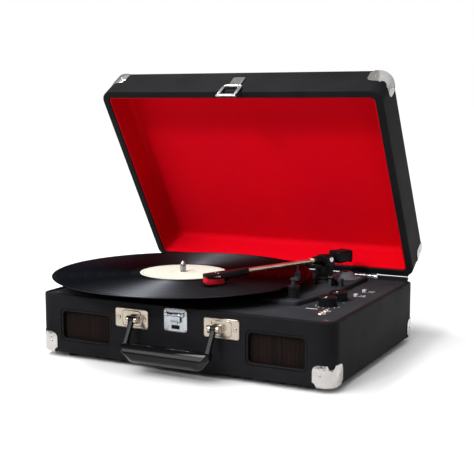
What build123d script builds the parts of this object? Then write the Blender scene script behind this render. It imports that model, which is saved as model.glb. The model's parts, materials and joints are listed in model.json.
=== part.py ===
"""A suitcase record player, standing open with a 12-inch record on its platter.

Millimetres, +Z up, front towards -Y. The pieces are laid out about the middle of the case
footprint at table height, then the whole player is moved so that the origin lies below the
middle of its bounding box.
"""
from build123d import *
import math
import os

# ---------------------------------------------------------------- case
CASE_W = 356.0
CASE_D = 260.0
BASE_H = 66.3
LID_H = 43.2
WALL = 9.0
CASE_R = 14.0
EDGE_R = 2.5
RIM_R = 1.6
LID_PANEL_T = 4.5
BOTTOM_T = 4.0
RIM_WALL = 6.0
FIT = 0.15
SEAT = 0.3
FOOT_H = 6.0
FOOT_R = 7.5
FOOT_INSET_X = 32.0
FOOT_INSET_Y = 20.5
RIM_GAP = 2.6
LID_OPEN = 58.1
LINING_T = 1.2
LINING_COVE = 7.0

# ---------------------------------------------------------------- corner caps and hinges
CAP_T = 0.8
CAP_SIZE = 23.0
CAP_LOBE_R = 7.0
CAP_NOTCH_R = 4.2
CAP_RIVET_R = 1.7
CAP_RIVET_INSET = 15.0
HINGE_INSET = 66.0
HINGE_L = 38.0
KNUCKLE_R = 2.2
HINGE_PIN_R = 1.2
LEAF_T = 1.2
LEAF_H = 16.0
RUN_GAP = 0.05

# ---------------------------------------------------------------- deck
DECK_T = 3.0
DECK_DROP = 1.0
DECK_SCREW_R = 3.2
DECK_SCREW_INSET = 9.5
RECORD_R = 150.8
RECORD_T = 1.5
RECORD_LIFT = 16.7
RECORD_REAR_GAP = 2.5
LABEL_R = 50.0
LABEL_T = 0.3
MAT_T = 2.0
MAT_R = 90.0
PLATTER_R = 92.0
PLATTER_T = 2.0
PLATTER_WALL = 2.2
HUB_R = 9.0
SPINDLE_R = 3.55
SPINDLE_TOP = 13.0
SPINDLE_TIP_L = 6.0
SPINDLE_NECK_R = 3.35
SPINDLE_BOSS_H = 4.0
DRIVE_R = 52.0
PULLEY_R = 5.0
PULLEY_FLANGE = 1.6
PULLEY_H = 6.6
MOTOR_REACH = 71.0
MOTOR_ANGLE = 135.0
MOTOR_R = 15.0
MOTOR_H = 22.0
MOTOR_SHAFT_R = 1.0
MOTOR_EAR = 6.0
BELT_T = 1.0
BELT_H = 4.0

# ---------------------------------------------------------------- tonearm
ARM_CLEAR = 17.1
ARM_ANGLE = 31.73
ARM_LIFT = 30.0
ARM_YAW = 21.7
TUBE_R = 2.6
TUBE_END = 131.0
HEAD_L = 46.0
HEAD_OFFSET = 13.0
HEAD_W = 14.0
HEAD_H = 7.2
HEAD_TIP_H = 4.4
HEAD_DROP = 1.6
CARTRIDGE_W = 10.0
CARTRIDGE_L = 21.0
CARTRIDGE_H = 7.4
STYLUS_REACH = 40.0
STYLUS_GAP = 0.3
COLUMN_R = 9.2
COLUMN_TOP = 8.0
BUSH_R = 8.0
PIVOT_R = 4.0
YOKE_W = 18.0
YOKE_EAR_T = 3.0
YOKE_D = 13.0
CROSS_PIN_R = 1.5
WEIGHT_W = 18.0
WEIGHT_L = 25.0
WEIGHT_H = 14.0
PLINTH_H = 5.5
PLINTH_EDGE = 1.2
PLINTH_R = 5.0
PLINTH_LEFT = 62.0
PLINTH_STEP_Y = 8.0
PLINTH_MARGIN = 2.5
PLATTER_ROOM = 26.0
CUE_ARC_R = 30.0
CUE_BAR_W = 2.4
CUE_POST_R = 1.8
CUE_AXIS_R = 2.0
CUE_LEVER_INSET = 10.5
CUE_LEVER_FRONT = 32.0
CUE_LEVER_RISE = 5.0
CUE_LUG_T = 3.0
CUE_LUG_W = 9.0
CUE_LUG_X = 6.0
REST_CLEAR = 5.35
REST_ANGLE = -10.97
REST_MARGIN_X = 9.0
REST_MARGIN_Y = 13.0
REST_POST_R = 2.2
REST_FLANGE_R = 6.5
CRADLE_W = 4.0
CLIP_PIN_R = 1.1
CLIP_L = 10.0
ADAPTER_ASIDE = 33.0
ADAPTER_REAR = 37.5
ADAPTER_R = 19.0
ADAPTER_BRIM_T = 2.5
ADAPTER_DOME_R = 13.0
ADAPTER_DOME_H = 6.5

# ---------------------------------------------------------------- controls
KNOB_INSET = 40.0
PLATTER_ASIDE = 190.8
VOLUME_Y = -48.0
FUNCTION_Y = -16.0
KNOB_R = 10.0
KNOB_H = 10.0
KNOB_RIBS = 24
KNOB_SHAFT_R = 3.0
POT_R = 8.0
POT_H = 8.0
JACK_R = 1.8
JACK_INSET = 31.0
JACK_Y = (-88.0, -74.0)
SPEED_Y = 17.0
AUTO_STOP_Y = 45.0
SWITCH_TRAVEL = 6.0
SWITCH_W = 4.0
SWITCH_L = 5.0
SWITCH_H = 3.0
SWITCH_BODY_T = 6.0
BOARD_W = 60.0
BOARD_T = 1.6
BOARD_LIFT = 4.0
BOARD_CLEAR = 60.0
BOARD_ASIDE = 10.0
BOARD_HOLE_INSET = 5.0
BOARD_POST_R = 2.5

# ---------------------------------------------------------------- front fittings
GRILLE_INSET = 62.5
GRILLE_Z = 32.5
GRILLE_W = 69.0
GRILLE_H = 37.0
GRILLE_R = 6.0
GRILLE_FRAME = 3.0
CLOTH_T = 1.0
SPEAKER_R = 25.0
BRACKET_X = 54.5
BRACKET_W = 41.0
BRACKET_H = 21.0
BRACKET_T = 1.6
BRACKET_Z = 49.0
HANDLE_AXIS_OUT = 8.0
HANDLE_PIN_R = 1.8
HANDLE_LEG_X = 49.5
HANDLE_LEG_W = 6.0
HANDLE_LEG_T = 4.0
GRIP_OUT = 25.0
GRIP_Z = 17.5
GRIP_W = 107.0
GRIP_H = 20.0
GRIP_D = 17.0
CATCH_W = 28.0
CATCH_H = 25.0
CATCH_T = 1.4
LATCH_W = 24.0
LATCH_PLATE_W = 15.0
LATCH_PIVOT_V = 8.5
LATCH_PLATE_TOP = 29.0
LOOP_L = 19.5
LOOP_WIRE_R = 1.1

# ---------------------------------------------------------------- rear fittings
RCA_INSETS = (68.0, 52.0)
RCA_R = 4.2
DC_INSET = 32.0
DC_R = 2.8
REAR_Z = 34.0
PORT_FLANGE = 2.0
PORT_DEPTH = 12.0

# ---------------------------------------------------------------- levels worked out from the sizes
RIM_Z = FOOT_H + BASE_H
DECK_Z = RIM_Z - DECK_DROP
DECK_UNDER = DECK_Z - DECK_T
LID_RIM_Z = RIM_Z + RIM_GAP
HINGE_Y = CASE_D / 2 + KNUCKLE_R + RUN_GAP * 3
HINGE_Z = RIM_Z + RIM_GAP / 2
FRONT_Y = -CASE_D / 2
RECORD_TOP = RIM_Z + RECORD_LIFT
RECORD_UNDER = RECORD_TOP - RECORD_T
PLATTER_TOP = RECORD_UNDER - MAT_T
PLINTH_Z = DECK_Z + PLINTH_H
ARM_Z = RIM_Z + ARM_LIFT
BELT_Z = DECK_Z + 4.5
HANDLE_Y = FRONT_Y - HANDLE_AXIS_OUT
HANDLE_Z = FOOT_H + BRACKET_Z

# ---------------------------------------------------------------- places worked out from the sizes
SIDE_X = CASE_W / 2
KNOB_X = SIDE_X - KNOB_INSET
JACK_X = SIDE_X - JACK_INSET
SWITCH_X = JACK_X
HINGE_X = SIDE_X - HINGE_INSET
GRILLE_X = SIDE_X - GRILLE_INSET
DC_X = SIDE_X - DC_INSET
RCA_X = [SIDE_X - inset for inset in RCA_INSETS]
PLATTER_X = KNOB_X - PLATTER_ASIDE
PLATTER_Y = CASE_D / 2 - RECORD_R - RECORD_REAR_GAP


def about_platter(clearance, angle):
    """A point beyond the record's edge by the clearance, at an angle about the spindle."""
    reach = RECORD_R + clearance
    turn = math.radians(angle)
    return PLATTER_X + reach * math.cos(turn), PLATTER_Y + reach * math.sin(turn)


ARM_X, ARM_Y = about_platter(ARM_CLEAR, ARM_ANGLE)
REST_X, REST_Y = about_platter(REST_CLEAR, REST_ANGLE)
ADAPTER_X = KNOB_X - ADAPTER_ASIDE
ADAPTER_Y = CASE_D / 2 - ADAPTER_REAR
PLINTH_RIGHT = ADAPTER_X + ADAPTER_R + PLINTH_MARGIN
PLINTH_REAR = ADAPTER_Y + ADAPTER_R + PLINTH_MARGIN

parts = {}


# ---------------------------------------------------------------- small helpers
def add(name, *solids):
    """Keep the solids of one node."""
    kept = []
    for item in solids:
        kept.extend(item.solids())
    parts[name] = kept


def slab(width, depth, height, radius, z=0.0):
    """A plate or block with rounded upright corners, standing on height z."""
    return Pos(0, 0, z) * extrude(RectangleRounded(width, depth, radius), height)


def disc(radius, height, x=0.0, y=0.0, z=0.0):
    return Pos(x, y, z) * extrude(Circle(radius), height)


def ring(outer, inner, height, x=0.0, y=0.0, z=0.0):
    return Pos(x, y, z) * extrude(Circle(outer) - Circle(inner), height)


def turned(points, x=0.0, y=0.0):
    """Revolve a closed (radius, height) outline about an upright axis."""
    outline = Plane.XZ * make_face(Polyline(*points, close=True))
    return Pos(x, y, 0) * revolve(outline, Axis.Z)


def rod_x(radius, length, x=0.0, y=0.0, z=0.0):
    """A round rod centred on (x, y, z) and lying along X."""
    return Pos(x, y, z) * Rot(0, 90, 0) * Cylinder(radius, length)


def rod_y(radius, length, x=0.0, y=0.0, z=0.0):
    return Pos(x, y, z) * Rot(90, 0, 0) * Cylinder(radius, length)


def block(width, depth, height, x=0.0, y=0.0, z=0.0):
    """A box centred on (x, y), standing on height z."""
    return Pos(x, y, z + height / 2) * Box(width, depth, height)


def front_plate(width, height, thickness, radius, x=0.0, y=0.0, z=0.0):
    """A plate with rounded corners that stands against a wall, its back at y, facing -Y."""
    face = Plane((x, y, z), x_dir=(1, 0, 0), z_dir=(0, -1, 0)) * RectangleRounded(width, height, radius)
    return extrude(face, thickness)


def four_corners(item):
    """The item and its mirror copies in the other three corners of the case."""
    across = mirror(item, about=Plane.YZ)
    return [item, across, mirror(item, about=Plane.XZ), mirror(across, about=Plane.XZ)]


def lid_opened(item):
    """Turn a piece of the closed lid about the hinge line into its open place."""
    return item.rotate(Axis((0, HINGE_Y, HINGE_Z), (1, 0, 0)), -LID_OPEN)


# ---------------------------------------------------------------- case
def case_block(grow, height, z):
    """The outside of a case half, grown by a skin, with its lower edge rounded."""
    body = slab(CASE_W + 2 * grow, CASE_D + 2 * grow, height, CASE_R + grow, z)
    return fillet(body.faces().sort_by(Axis.Z)[0].edges(), EDGE_R + grow)


def base_case():
    outer = case_block(0, BASE_H, FOOT_H)
    hollow = slab(CASE_W - 2 * WALL, CASE_D - 2 * WALL, BASE_H, CASE_R - WALL, FOOT_H)
    pocket_w = CASE_W - 2 * RIM_WALL
    pocket_d = CASE_D - 2 * RIM_WALL
    pocket = slab(pocket_w, pocket_d, BASE_H, CASE_R - RIM_WALL, DECK_UNDER)
    shell = outer - hollow - pocket
    shell = fillet(shell.faces().sort_by(Axis.Z)[-1].edges(), RIM_R)
    for side in (-1, 1):
        opening = front_plate(GRILLE_W, GRILLE_H, 2 * WALL, GRILLE_R,
                              side * GRILLE_X, FRONT_Y + 1.5 * WALL, FOOT_H + GRILLE_Z)
        shell -= opening
    for x in RCA_X:
        shell -= rod_y(RCA_R + FIT, 3 * WALL, x, CASE_D / 2, FOOT_H + REAR_Z)
    shell -= rod_y(DC_R + PORT_FLANGE + FIT, 3 * WALL, DC_X, CASE_D / 2, FOOT_H + REAR_Z)
    add("base_shell", shell)
    add("bottom_panel", slab(CASE_W - 2 * WALL - 2 * FIT, CASE_D - 2 * WALL - 2 * FIT, BOTTOM_T,
                             CASE_R - WALL - FIT, FOOT_H))
    foot = turned([(0, 0), (FOOT_R - 1, 0), (FOOT_R, 1), (FOOT_R - 0.5, FOOT_H), (0, FOOT_H)],
                  CASE_W / 2 - FOOT_INSET_X, CASE_D / 2 - FOOT_INSET_Y)
    add("rubber_feet", *four_corners(foot))


def corner_cap():
    """A pressed corner over the lower right rear corner of the base, with three rounded lobes."""
    skin = case_block(CAP_T, BASE_H, FOOT_H - CAP_T) - case_block(0, BASE_H, FOOT_H)
    corner = Vector(CASE_W / 2, CASE_D / 2, FOOT_H)
    reach = CAP_SIZE + CAP_T
    lobes = Pos(corner.X - reach / 2 + CAP_T, corner.Y - reach / 2 + CAP_T, corner.Z + reach / 2 - CAP_T)
    lobes = lobes * Box(reach, reach, reach)
    inner = [lobes.edges().filter_by(Axis.X).sort_by(Axis.Y)[:2].sort_by(Axis.Z)[-1],
             lobes.edges().filter_by(Axis.Y).sort_by(Axis.X)[:2].sort_by(Axis.Z)[-1],
             lobes.edges().filter_by(Axis.Z).sort_by(Axis.X)[:2].sort_by(Axis.Y)[0]]
    cap = skin & fillet(inner, CAP_LOBE_R)
    notch = Plane((corner.X, corner.Y, corner.Z + CAP_SIZE), z_dir=(1, 1, 0)) * Cylinder(CAP_NOTCH_R, CASE_R * 2)
    cap -= notch
    cap -= Plane((corner.X - CAP_SIZE, corner.Y, corner.Z), z_dir=(0, 1, -1)) * Cylinder(CAP_NOTCH_R, CASE_R)
    cap -= Plane((corner.X, corner.Y - CAP_SIZE, corner.Z), z_dir=(1, 0, -1)) * Cylinder(CAP_NOTCH_R, CASE_R)
    return cap


def cap_rivets():
    """Two domed nails in a corner cap, one in each upright lobe."""
    dome = turned([(0, 0), (CAP_RIVET_R, 0), (CAP_RIVET_R * 0.8, CAP_T * 0.7), (0, CAP_T)])
    z = FOOT_H + CAP_RIVET_INSET * 0.8
    side = Pos(CASE_W / 2 + CAP_T, CASE_D / 2 - CAP_RIVET_INSET, z) * Rot(0, 90, 0) * dome
    back = Pos(CASE_W / 2 - CAP_RIVET_INSET, CASE_D / 2 + CAP_T, z) * Rot(-90, 0, 0) * dome
    return [side, back]


def corner_hardware():
    cap = corner_cap()
    rivets = cap_rivets()
    lid_plane = Plane((0, 0, (FOOT_H + LID_RIM_Z + LID_H) / 2), z_dir=(0, 0, 1))
    add("base_corner_caps", *four_corners(cap))
    add("base_cap_rivets", *[copy for rivet in rivets for copy in four_corners(rivet)])
    lid_cap = mirror(cap, about=lid_plane)
    lid_rivets = [mirror(rivet, about=lid_plane) for rivet in rivets]
    add("lid_corner_caps", *[lid_opened(copy) for copy in four_corners(lid_cap)])
    add("lid_cap_rivets", *[lid_opened(copy) for rivet in lid_rivets for copy in four_corners(rivet)])


def lid_case():
    upside = case_block(0, LID_H, FOOT_H)
    mid = Plane((0, 0, (FOOT_H + LID_RIM_Z + LID_H) / 2), z_dir=(0, 0, 1))
    outer = mirror(upside, about=mid)
    inner_w = CASE_W - 2 * WALL
    inner_d = CASE_D - 2 * WALL
    depth = LID_H - LID_PANEL_T
    hollow = slab(inner_w, inner_d, depth, CASE_R - WALL, LID_RIM_Z)
    shell = outer - hollow
    shell = fillet(shell.faces().sort_by(Axis.Z)[0].edges(), RIM_R)
    add("lid_shell", lid_opened(shell))
    liner = slab(inner_w - 2 * FIT, inner_d - 2 * FIT, depth - RIM_R - FIT, CASE_R - WALL - FIT, LID_RIM_Z + RIM_R)
    room = slab(inner_w - 2 * LINING_T, inner_d - 2 * LINING_T, depth - LINING_T - RIM_R,
                CASE_R - WALL, LID_RIM_Z + RIM_R)
    room = fillet(room.faces().sort_by(Axis.Z)[-1].edges(), LINING_COVE)
    add("lid_lining", lid_opened(liner - room))


def hinge_pair():
    """Two butt hinges on the back: three base knuckles, two lid knuckles and a loose pin each."""
    pitch = HINGE_L / 5
    base_leaves, lid_leaves, pins = [], [], []
    for side in (-1, 1):
        x = side * HINGE_X
        base = block(HINGE_L, LEAF_T, LEAF_H, x, CASE_D / 2 + LEAF_T / 2, RIM_Z - RIM_R - LEAF_H)
        base += block(HINGE_L, LEAF_T, RIM_R + RIM_GAP / 2, x, CASE_D / 2 + LEAF_T / 2 + RUN_GAP * 3, RIM_Z - RIM_R)
        lid = mirror(base, about=Plane((0, 0, HINGE_Z), z_dir=(0, 0, 1)))
        for index in range(5):
            knuckle = rod_x(KNUCKLE_R, pitch - 4 * RUN_GAP, x + (index - 2) * pitch, HINGE_Y, HINGE_Z)
            space = rod_x(KNUCKLE_R + 4 * RUN_GAP, pitch, x + (index - 2) * pitch, HINGE_Y, HINGE_Z)
            if index % 2:
                lid += knuckle
                base -= space
            else:
                base += knuckle
                lid -= space
        bore = rod_x(HINGE_PIN_R + RUN_GAP, HINGE_L + 4, x, HINGE_Y, HINGE_Z)
        base_leaves.append(base - bore)
        lid_leaves.append(lid_opened(lid - bore))
        pins.append(rod_x(HINGE_PIN_R, HINGE_L, x, HINGE_Y, HINGE_Z))
    add("hinge_base_leaves", *base_leaves)
    add("hinge_lid_leaves", *lid_leaves)
    add("hinge_pins", *pins)


# ---------------------------------------------------------------- deck, platter and drive
def motor_place():
    angle = math.radians(MOTOR_ANGLE)
    return (PLATTER_X + MOTOR_REACH * math.cos(angle), PLATTER_Y + MOTOR_REACH * math.sin(angle))


def deck():
    width = CASE_W - 2 * RIM_WALL - 2 * FIT
    depth = CASE_D - 2 * RIM_WALL - 2 * FIT
    plate = slab(width, depth, DECK_T, CASE_R - RIM_WALL - FIT, DECK_UNDER)
    boss = disc(HUB_R, SPINDLE_BOSS_H + DECK_T + 8, PLATTER_X, PLATTER_Y, DECK_UNDER - 8)
    plate += boss
    plate -= disc(SPINDLE_R + RUN_GAP / 2, 40, PLATTER_X, PLATTER_Y, DECK_UNDER - 15)
    motor_x, motor_y = motor_place()
    plate -= disc(PULLEY_R + PULLEY_FLANGE + 1.5, DECK_T * 3, motor_x, motor_y, DECK_UNDER - DECK_T)
    for y in (VOLUME_Y, FUNCTION_Y):
        plate -= disc(KNOB_SHAFT_R + 0.5, DECK_T * 3, KNOB_X, y, DECK_UNDER - DECK_T)
    for y in JACK_Y:
        plate -= disc(JACK_R + 2.2 + FIT, DECK_T * 3, JACK_X, y, DECK_UNDER - DECK_T)
    for y in (SPEED_Y, AUTO_STOP_Y):
        plate -= block(SWITCH_W + 1, SWITCH_L + SWITCH_TRAVEL + 1, DECK_T * 3, SWITCH_X, y, DECK_UNDER - DECK_T)
    plate -= disc(BUSH_R + FIT, DECK_T * 3, ARM_X, ARM_Y, DECK_UNDER - DECK_T)
    screw_x = CASE_W / 2 - RIM_WALL - DECK_SCREW_INSET
    screw_y = CASE_D / 2 - RIM_WALL - DECK_SCREW_INSET
    hole = Pos(screw_x, screw_y, 0) * turned([(0, DECK_UNDER - 1), (DECK_SCREW_R / 2, DECK_UNDER - 1),
                                              (DECK_SCREW_R / 2, DECK_Z - 1.6), (DECK_SCREW_R, DECK_Z),
                                              (DECK_SCREW_R, DECK_Z + 1), (0, DECK_Z + 1)])
    for item in four_corners(hole):
        plate -= item
    add("deck_plate", plate)
    screw = Pos(screw_x, screw_y, 0) * turned([(0, DECK_UNDER - 7), (DECK_SCREW_R / 2 - FIT, DECK_UNDER - 7),
                                               (DECK_SCREW_R / 2 - FIT, DECK_Z - 1.6),
                                               (DECK_SCREW_R - FIT, DECK_Z - 0.1), (0, DECK_Z + 0.5)])
    screw -= block(DECK_SCREW_R * 1.3, 0.7, 1, screw_x, screw_y, DECK_Z - 0.4)
    screw -= block(0.7, DECK_SCREW_R * 1.3, 1, screw_x, screw_y, DECK_Z - 0.4)
    add("deck_screws", *four_corners(screw))
    post = disc(DECK_SCREW_R + 2, DECK_UNDER - FOOT_H - BOTTOM_T, screw_x, screw_y, FOOT_H + BOTTOM_T)
    post -= disc(DECK_SCREW_R / 2, 8, screw_x, screw_y, DECK_UNDER - 8)
    add("deck_posts", *four_corners(post))


def platter_set():
    x, y = PLATTER_X, PLATTER_Y
    bore = SPINDLE_R + RUN_GAP
    under = PLATTER_TOP - PLATTER_T
    foot = DECK_Z + 1.5
    wall = PLATTER_WALL
    add("platter", turned([(bore, DECK_Z + SPINDLE_BOSS_H + SEAT), (HUB_R, DECK_Z + SPINDLE_BOSS_H + SEAT),
                           (HUB_R, under), (DRIVE_R - wall, under), (DRIVE_R - wall, foot + 1),
                           (DRIVE_R, foot + 1), (DRIVE_R, under), (PLATTER_R - wall, under),
                           (PLATTER_R - wall, foot), (PLATTER_R, foot), (PLATTER_R, PLATTER_TOP - 1),
                           (PLATTER_R - 1, PLATTER_TOP), (bore, PLATTER_TOP)], x, y))
    add("slip_mat", ring(MAT_R, bore, MAT_T, x, y, PLATTER_TOP))
    base, top = RECORD_UNDER, RECORD_TOP
    add("record_disc", turned([(bore, base), (RECORD_R - 0.6, base), (RECORD_R, base + 0.6),
                               (RECORD_R, top - 0.4), (RECORD_R - 0.8, top), (RECORD_R - 3, top),
                               (RECORD_R - 5, top - 0.3), (LABEL_R + 8, top - 0.3), (LABEL_R + 3, top),
                               (LABEL_R + FIT, top), (LABEL_R + FIT, top - 0.1), (bore, top - 0.1)], x, y))
    add("record_label", ring(LABEL_R, bore, LABEL_T, x, y, top - 0.1))
    tip = RECORD_TOP + SPINDLE_TOP
    neck = SPINDLE_NECK_R
    add("spindle", turned([(0, DECK_UNDER - 8), (SPINDLE_R, DECK_UNDER - 8), (SPINDLE_R, RECORD_TOP + SEAT),
                           (neck, RECORD_TOP + SEAT), (neck, tip - SPINDLE_TIP_L), (SPINDLE_R * 0.8, tip - 2.6),
                           (SPINDLE_R * 0.45, tip - 0.6), (0, tip)], x, y))


def drive():
    x, y = motor_place()
    shaft_hole = MOTOR_SHAFT_R + RUN_GAP
    add("motor", turned([(shaft_hole, DECK_UNDER - MOTOR_H), (MOTOR_R - 1, DECK_UNDER - MOTOR_H),
                         (MOTOR_R, DECK_UNDER - MOTOR_H + 1), (MOTOR_R, DECK_UNDER - 3),
                         (MOTOR_R + MOTOR_EAR, DECK_UNDER - 3), (MOTOR_R + MOTOR_EAR, DECK_UNDER),
                         (MOTOR_R - 3, DECK_UNDER),
                         (shaft_hole, DECK_UNDER)], x, y))
    low = BELT_Z - (PULLEY_H - BELT_H) / 2
    high = low + PULLEY_H
    rim = PULLEY_R + PULLEY_FLANGE
    add("motor_shaft", disc(MOTOR_SHAFT_R, high + 0.5 - DECK_UNDER + 15, x, y, DECK_UNDER - 15))
    add("motor_pulley", turned([(shaft_hole, low), (rim, low), (rim, low + 0.8), (PULLEY_R, low + 1.2),
                                (PULLEY_R, high - 1.2), (rim, high - 0.8), (rim, high), (shaft_hole, high)], x, y))
    loops = []
    for gap in (SEAT + BELT_T, SEAT):
        wheels = [Pos(PLATTER_X, PLATTER_Y) * Circle(DRIVE_R + gap), Pos(x, y) * Circle(PULLEY_R + gap)]
        loops.append(make_hull([edge for wheel in wheels for edge in wheel.edges()]))
    add("drive_belt", Pos(0, 0, BELT_Z) * extrude(loops[0] - loops[1], BELT_H))


# ---------------------------------------------------------------- tonearm
def arm_place(item, yaw=ARM_YAW):
    """Move a piece modelled with the arm's pivot at the origin, pointing to -Y, to its place."""
    return Pos(ARM_X, ARM_Y, 0) * Rot(0, 0, -yaw) * item


def plinth_outline():
    """The raised moulding to the right of the platter, hollowed to the platter's curve."""
    front = REST_Y - REST_MARGIN_Y
    points = [(PLINTH_LEFT, PLINTH_REAR), (PLINTH_RIGHT, PLINTH_REAR), (PLINTH_RIGHT, PLINTH_STEP_Y),
              (REST_X + REST_MARGIN_X, front), (PLINTH_LEFT, front)]
    face = make_face(Polyline(*points, close=True))
    face -= Pos(PLATTER_X, PLATTER_Y) * Circle(PLATTER_R + PLATTER_ROOM)
    return fillet(face.vertices(), PLINTH_R)


def tonearm_base():
    plinth = Pos(0, 0, DECK_Z) * extrude(plinth_outline(), PLINTH_H)
    plinth = chamfer(plinth.faces().sort_by(Axis.Z)[-1].edges(), PLINTH_EDGE)
    plinth -= disc(BUSH_R + FIT, 30, ARM_X, ARM_Y, DECK_Z - 10)
    plinth -= disc(ADAPTER_R + 0.4, 20, ADAPTER_X, ADAPTER_Y, PLINTH_Z - ADAPTER_BRIM_T + 0.5)
    cue_x, cue_y = cue_post_place()
    plinth -= disc(CUE_POST_R + 0.1, 20, cue_x, cue_y, DECK_Z - 5)
    plinth -= disc(REST_POST_R + FIT, 20, REST_X, REST_Y, DECK_Z - 5)
    lever_x, lever_y, lever_z = cue_lever_place()
    for side in (-1, 1):
        lug_x = lever_x + CUE_LUG_X * side
        plinth += block(CUE_LUG_T, CUE_LUG_W, CUE_LUG_W, lug_x, lever_y, PLINTH_Z)
    plinth -= rod_x(CUE_AXIS_R + RUN_GAP, 4 * CUE_LUG_X, lever_x, lever_y, lever_z)
    add("tonearm_plinth", plinth)
    top = PLINTH_Z + 1.0
    add("tonearm_bush", turned([(PIVOT_R + RUN_GAP, DECK_UNDER - 4), (BUSH_R, DECK_UNDER - 4), (BUSH_R, PLINTH_Z),
                                (COLUMN_R + 3, PLINTH_Z), (COLUMN_R + 2, top), (PIVOT_R + RUN_GAP, top)],
                               ARM_X, ARM_Y))
    dome = [(0, 0), (ADAPTER_R, 0), (ADAPTER_R, ADAPTER_BRIM_T), (ADAPTER_DOME_R, ADAPTER_BRIM_T + 0.6),
            (ADAPTER_DOME_R - 2.5, ADAPTER_BRIM_T + ADAPTER_DOME_H * 0.7),
            (ADAPTER_DOME_R - 6, ADAPTER_BRIM_T + ADAPTER_DOME_H), (SPINDLE_R + 0.1, ADAPTER_BRIM_T + ADAPTER_DOME_H),
            (SPINDLE_R + 0.1, 1), (0, 1)]
    lift = PLINTH_Z - ADAPTER_BRIM_T + 0.5
    add("adapter_45", turned([(r, z + lift) for r, z in dome], ADAPTER_X, ADAPTER_Y))


def turret():
    """The turning column with its yoke; the shaft below it runs in the bush."""
    low = PLINTH_Z + 1.0 + SEAT
    shoulder = ARM_Z - COLUMN_TOP
    column = turned([(0, DECK_UNDER - 4), (PIVOT_R, DECK_UNDER - 4), (PIVOT_R, low), (COLUMN_R + 1.5, low),
                     (COLUMN_R + 1.5, low + 2), (COLUMN_R, low + 3.5), (COLUMN_R, shoulder), (0, shoulder)])
    ears = block(YOKE_W, YOKE_D, COLUMN_TOP + 4, 0, 0, shoulder)
    ears = fillet(ears.edges().filter_by(Axis.X).sort_by(Axis.Z)[-2:], 3.5)
    ears -= block(YOKE_W - 2 * YOKE_EAR_T, YOKE_D + 2, COLUMN_TOP + 4, 0, 0, shoulder + 0.01)
    ears -= rod_x(CROSS_PIN_R + RUN_GAP, YOKE_W + 4, 0, 0, ARM_Z)
    add("tonearm_turret", arm_place(column + ears))


def arm():
    hub_w = YOKE_W - 2 * YOKE_EAR_T - 2 * SEAT
    hub = block(hub_w, YOKE_D, COLUMN_TOP + 2, 0, -1, ARM_Z - COLUMN_TOP / 2 - 1)
    hub = fillet(hub.edges(), 1.5)
    collar = rod_y(TUBE_R + 2, 14, 0, -YOKE_D / 2 - 6, ARM_Z)
    tail = rod_y(TUBE_R + 1.4, 10, 0, YOKE_D / 2 + 2, ARM_Z)
    hub = hub + collar + tail
    hub -= rod_y(TUBE_R + 0.01, 20, 0, -YOKE_D / 2 - 13, ARM_Z)
    hub -= rod_x(CROSS_PIN_R + 0.01, 40, 0, 0, ARM_Z)
    add("arm_hub", arm_place(hub))
    add("arm_cross_pin", arm_place(rod_x(CROSS_PIN_R, YOKE_W, 0, 0, ARM_Z)))
    start = YOKE_D / 2 + 3.5
    add("arm_tube", arm_place(rod_y(TUBE_R, TUBE_END - start, 0, -(TUBE_END + start) / 2, ARM_Z)))
    weight_y = YOKE_D / 2 + 7.2 + WEIGHT_L / 2
    weight = block(WEIGHT_W, WEIGHT_L, WEIGHT_H, 0, weight_y, ARM_Z - WEIGHT_H / 2 + 0.5)
    weight = fillet(weight.edges(), 2.5)
    add("counterweight", arm_place(weight))


def head_place(item):
    """Move a piece modelled from the tube's end, pointing to -Y, to the cranked head."""
    return arm_place(Pos(0, -TUBE_END, ARM_Z) * Rot(0, 0, -HEAD_OFFSET) * item)


def head_section(y, z, width, height, radius):
    """A cross section of the headshell, at a distance y along it."""
    return Plane((0, y, z), x_dir=(1, 0, 0), z_dir=(0, -1, 0)) * RectangleRounded(width, height, radius)


def headshell():
    """The head with its carrier for the cartridge, the finger lift and the cartridge itself."""
    neck = 2 * TUBE_R + 2.4
    shell = loft([head_section(6, 0, neck, neck, 3),
                  head_section(-10, -1.2, HEAD_W, HEAD_H, 2.4),
                  head_section(-HEAD_L, -HEAD_DROP, HEAD_W - 3, HEAD_TIP_H, 1.6)])
    ceiling = -HEAD_DROP - HEAD_TIP_H / 2 + 0.6
    shell -= block(CARTRIDGE_W, HEAD_L - 12, HEAD_H, 0, -HEAD_L / 2 - 7, ceiling - HEAD_H)
    cartridge_back = CARTRIDGE_L - HEAD_L
    shell += block(CARTRIDGE_W - 1, 6, 5.4, 0, cartridge_back + 3 + FIT, ceiling - 5)
    shell -= Rot(0, 0, HEAD_OFFSET) * rod_y(TUBE_R + 0.01, 16, 0, 8, 0)
    lift = Pos(HEAD_W / 2 + 3, -HEAD_L + 9, -1.5) * Rot(0, -12, 0) * Box(12, 3, 1)
    add("headshell", head_place(shell))
    add("finger_lift", head_place(lift - shell))
    drop = RECORD_TOP + STYLUS_GAP - ARM_Z
    body = block(CARTRIDGE_W - 2 * FIT, CARTRIDGE_L, CARTRIDGE_H, 0, -HEAD_L + CARTRIDGE_L / 2, ceiling - CARTRIDGE_H)
    body = chamfer(body.edges().filter_by(Axis.X).sort_by(Axis.Z)[:2], 1.8)
    needle_h = ceiling - CARTRIDGE_H - drop + 1
    needle = Pos(0, -STYLUS_REACH, drop + needle_h / 2) * Cone(0.2, 1.0, needle_h)
    add("stylus_cartridge", head_place(body + needle))


def cue_post_place():
    angle = math.radians(-2)
    return (ARM_X - CUE_ARC_R * math.sin(angle), ARM_Y - CUE_ARC_R * math.cos(angle))


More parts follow.
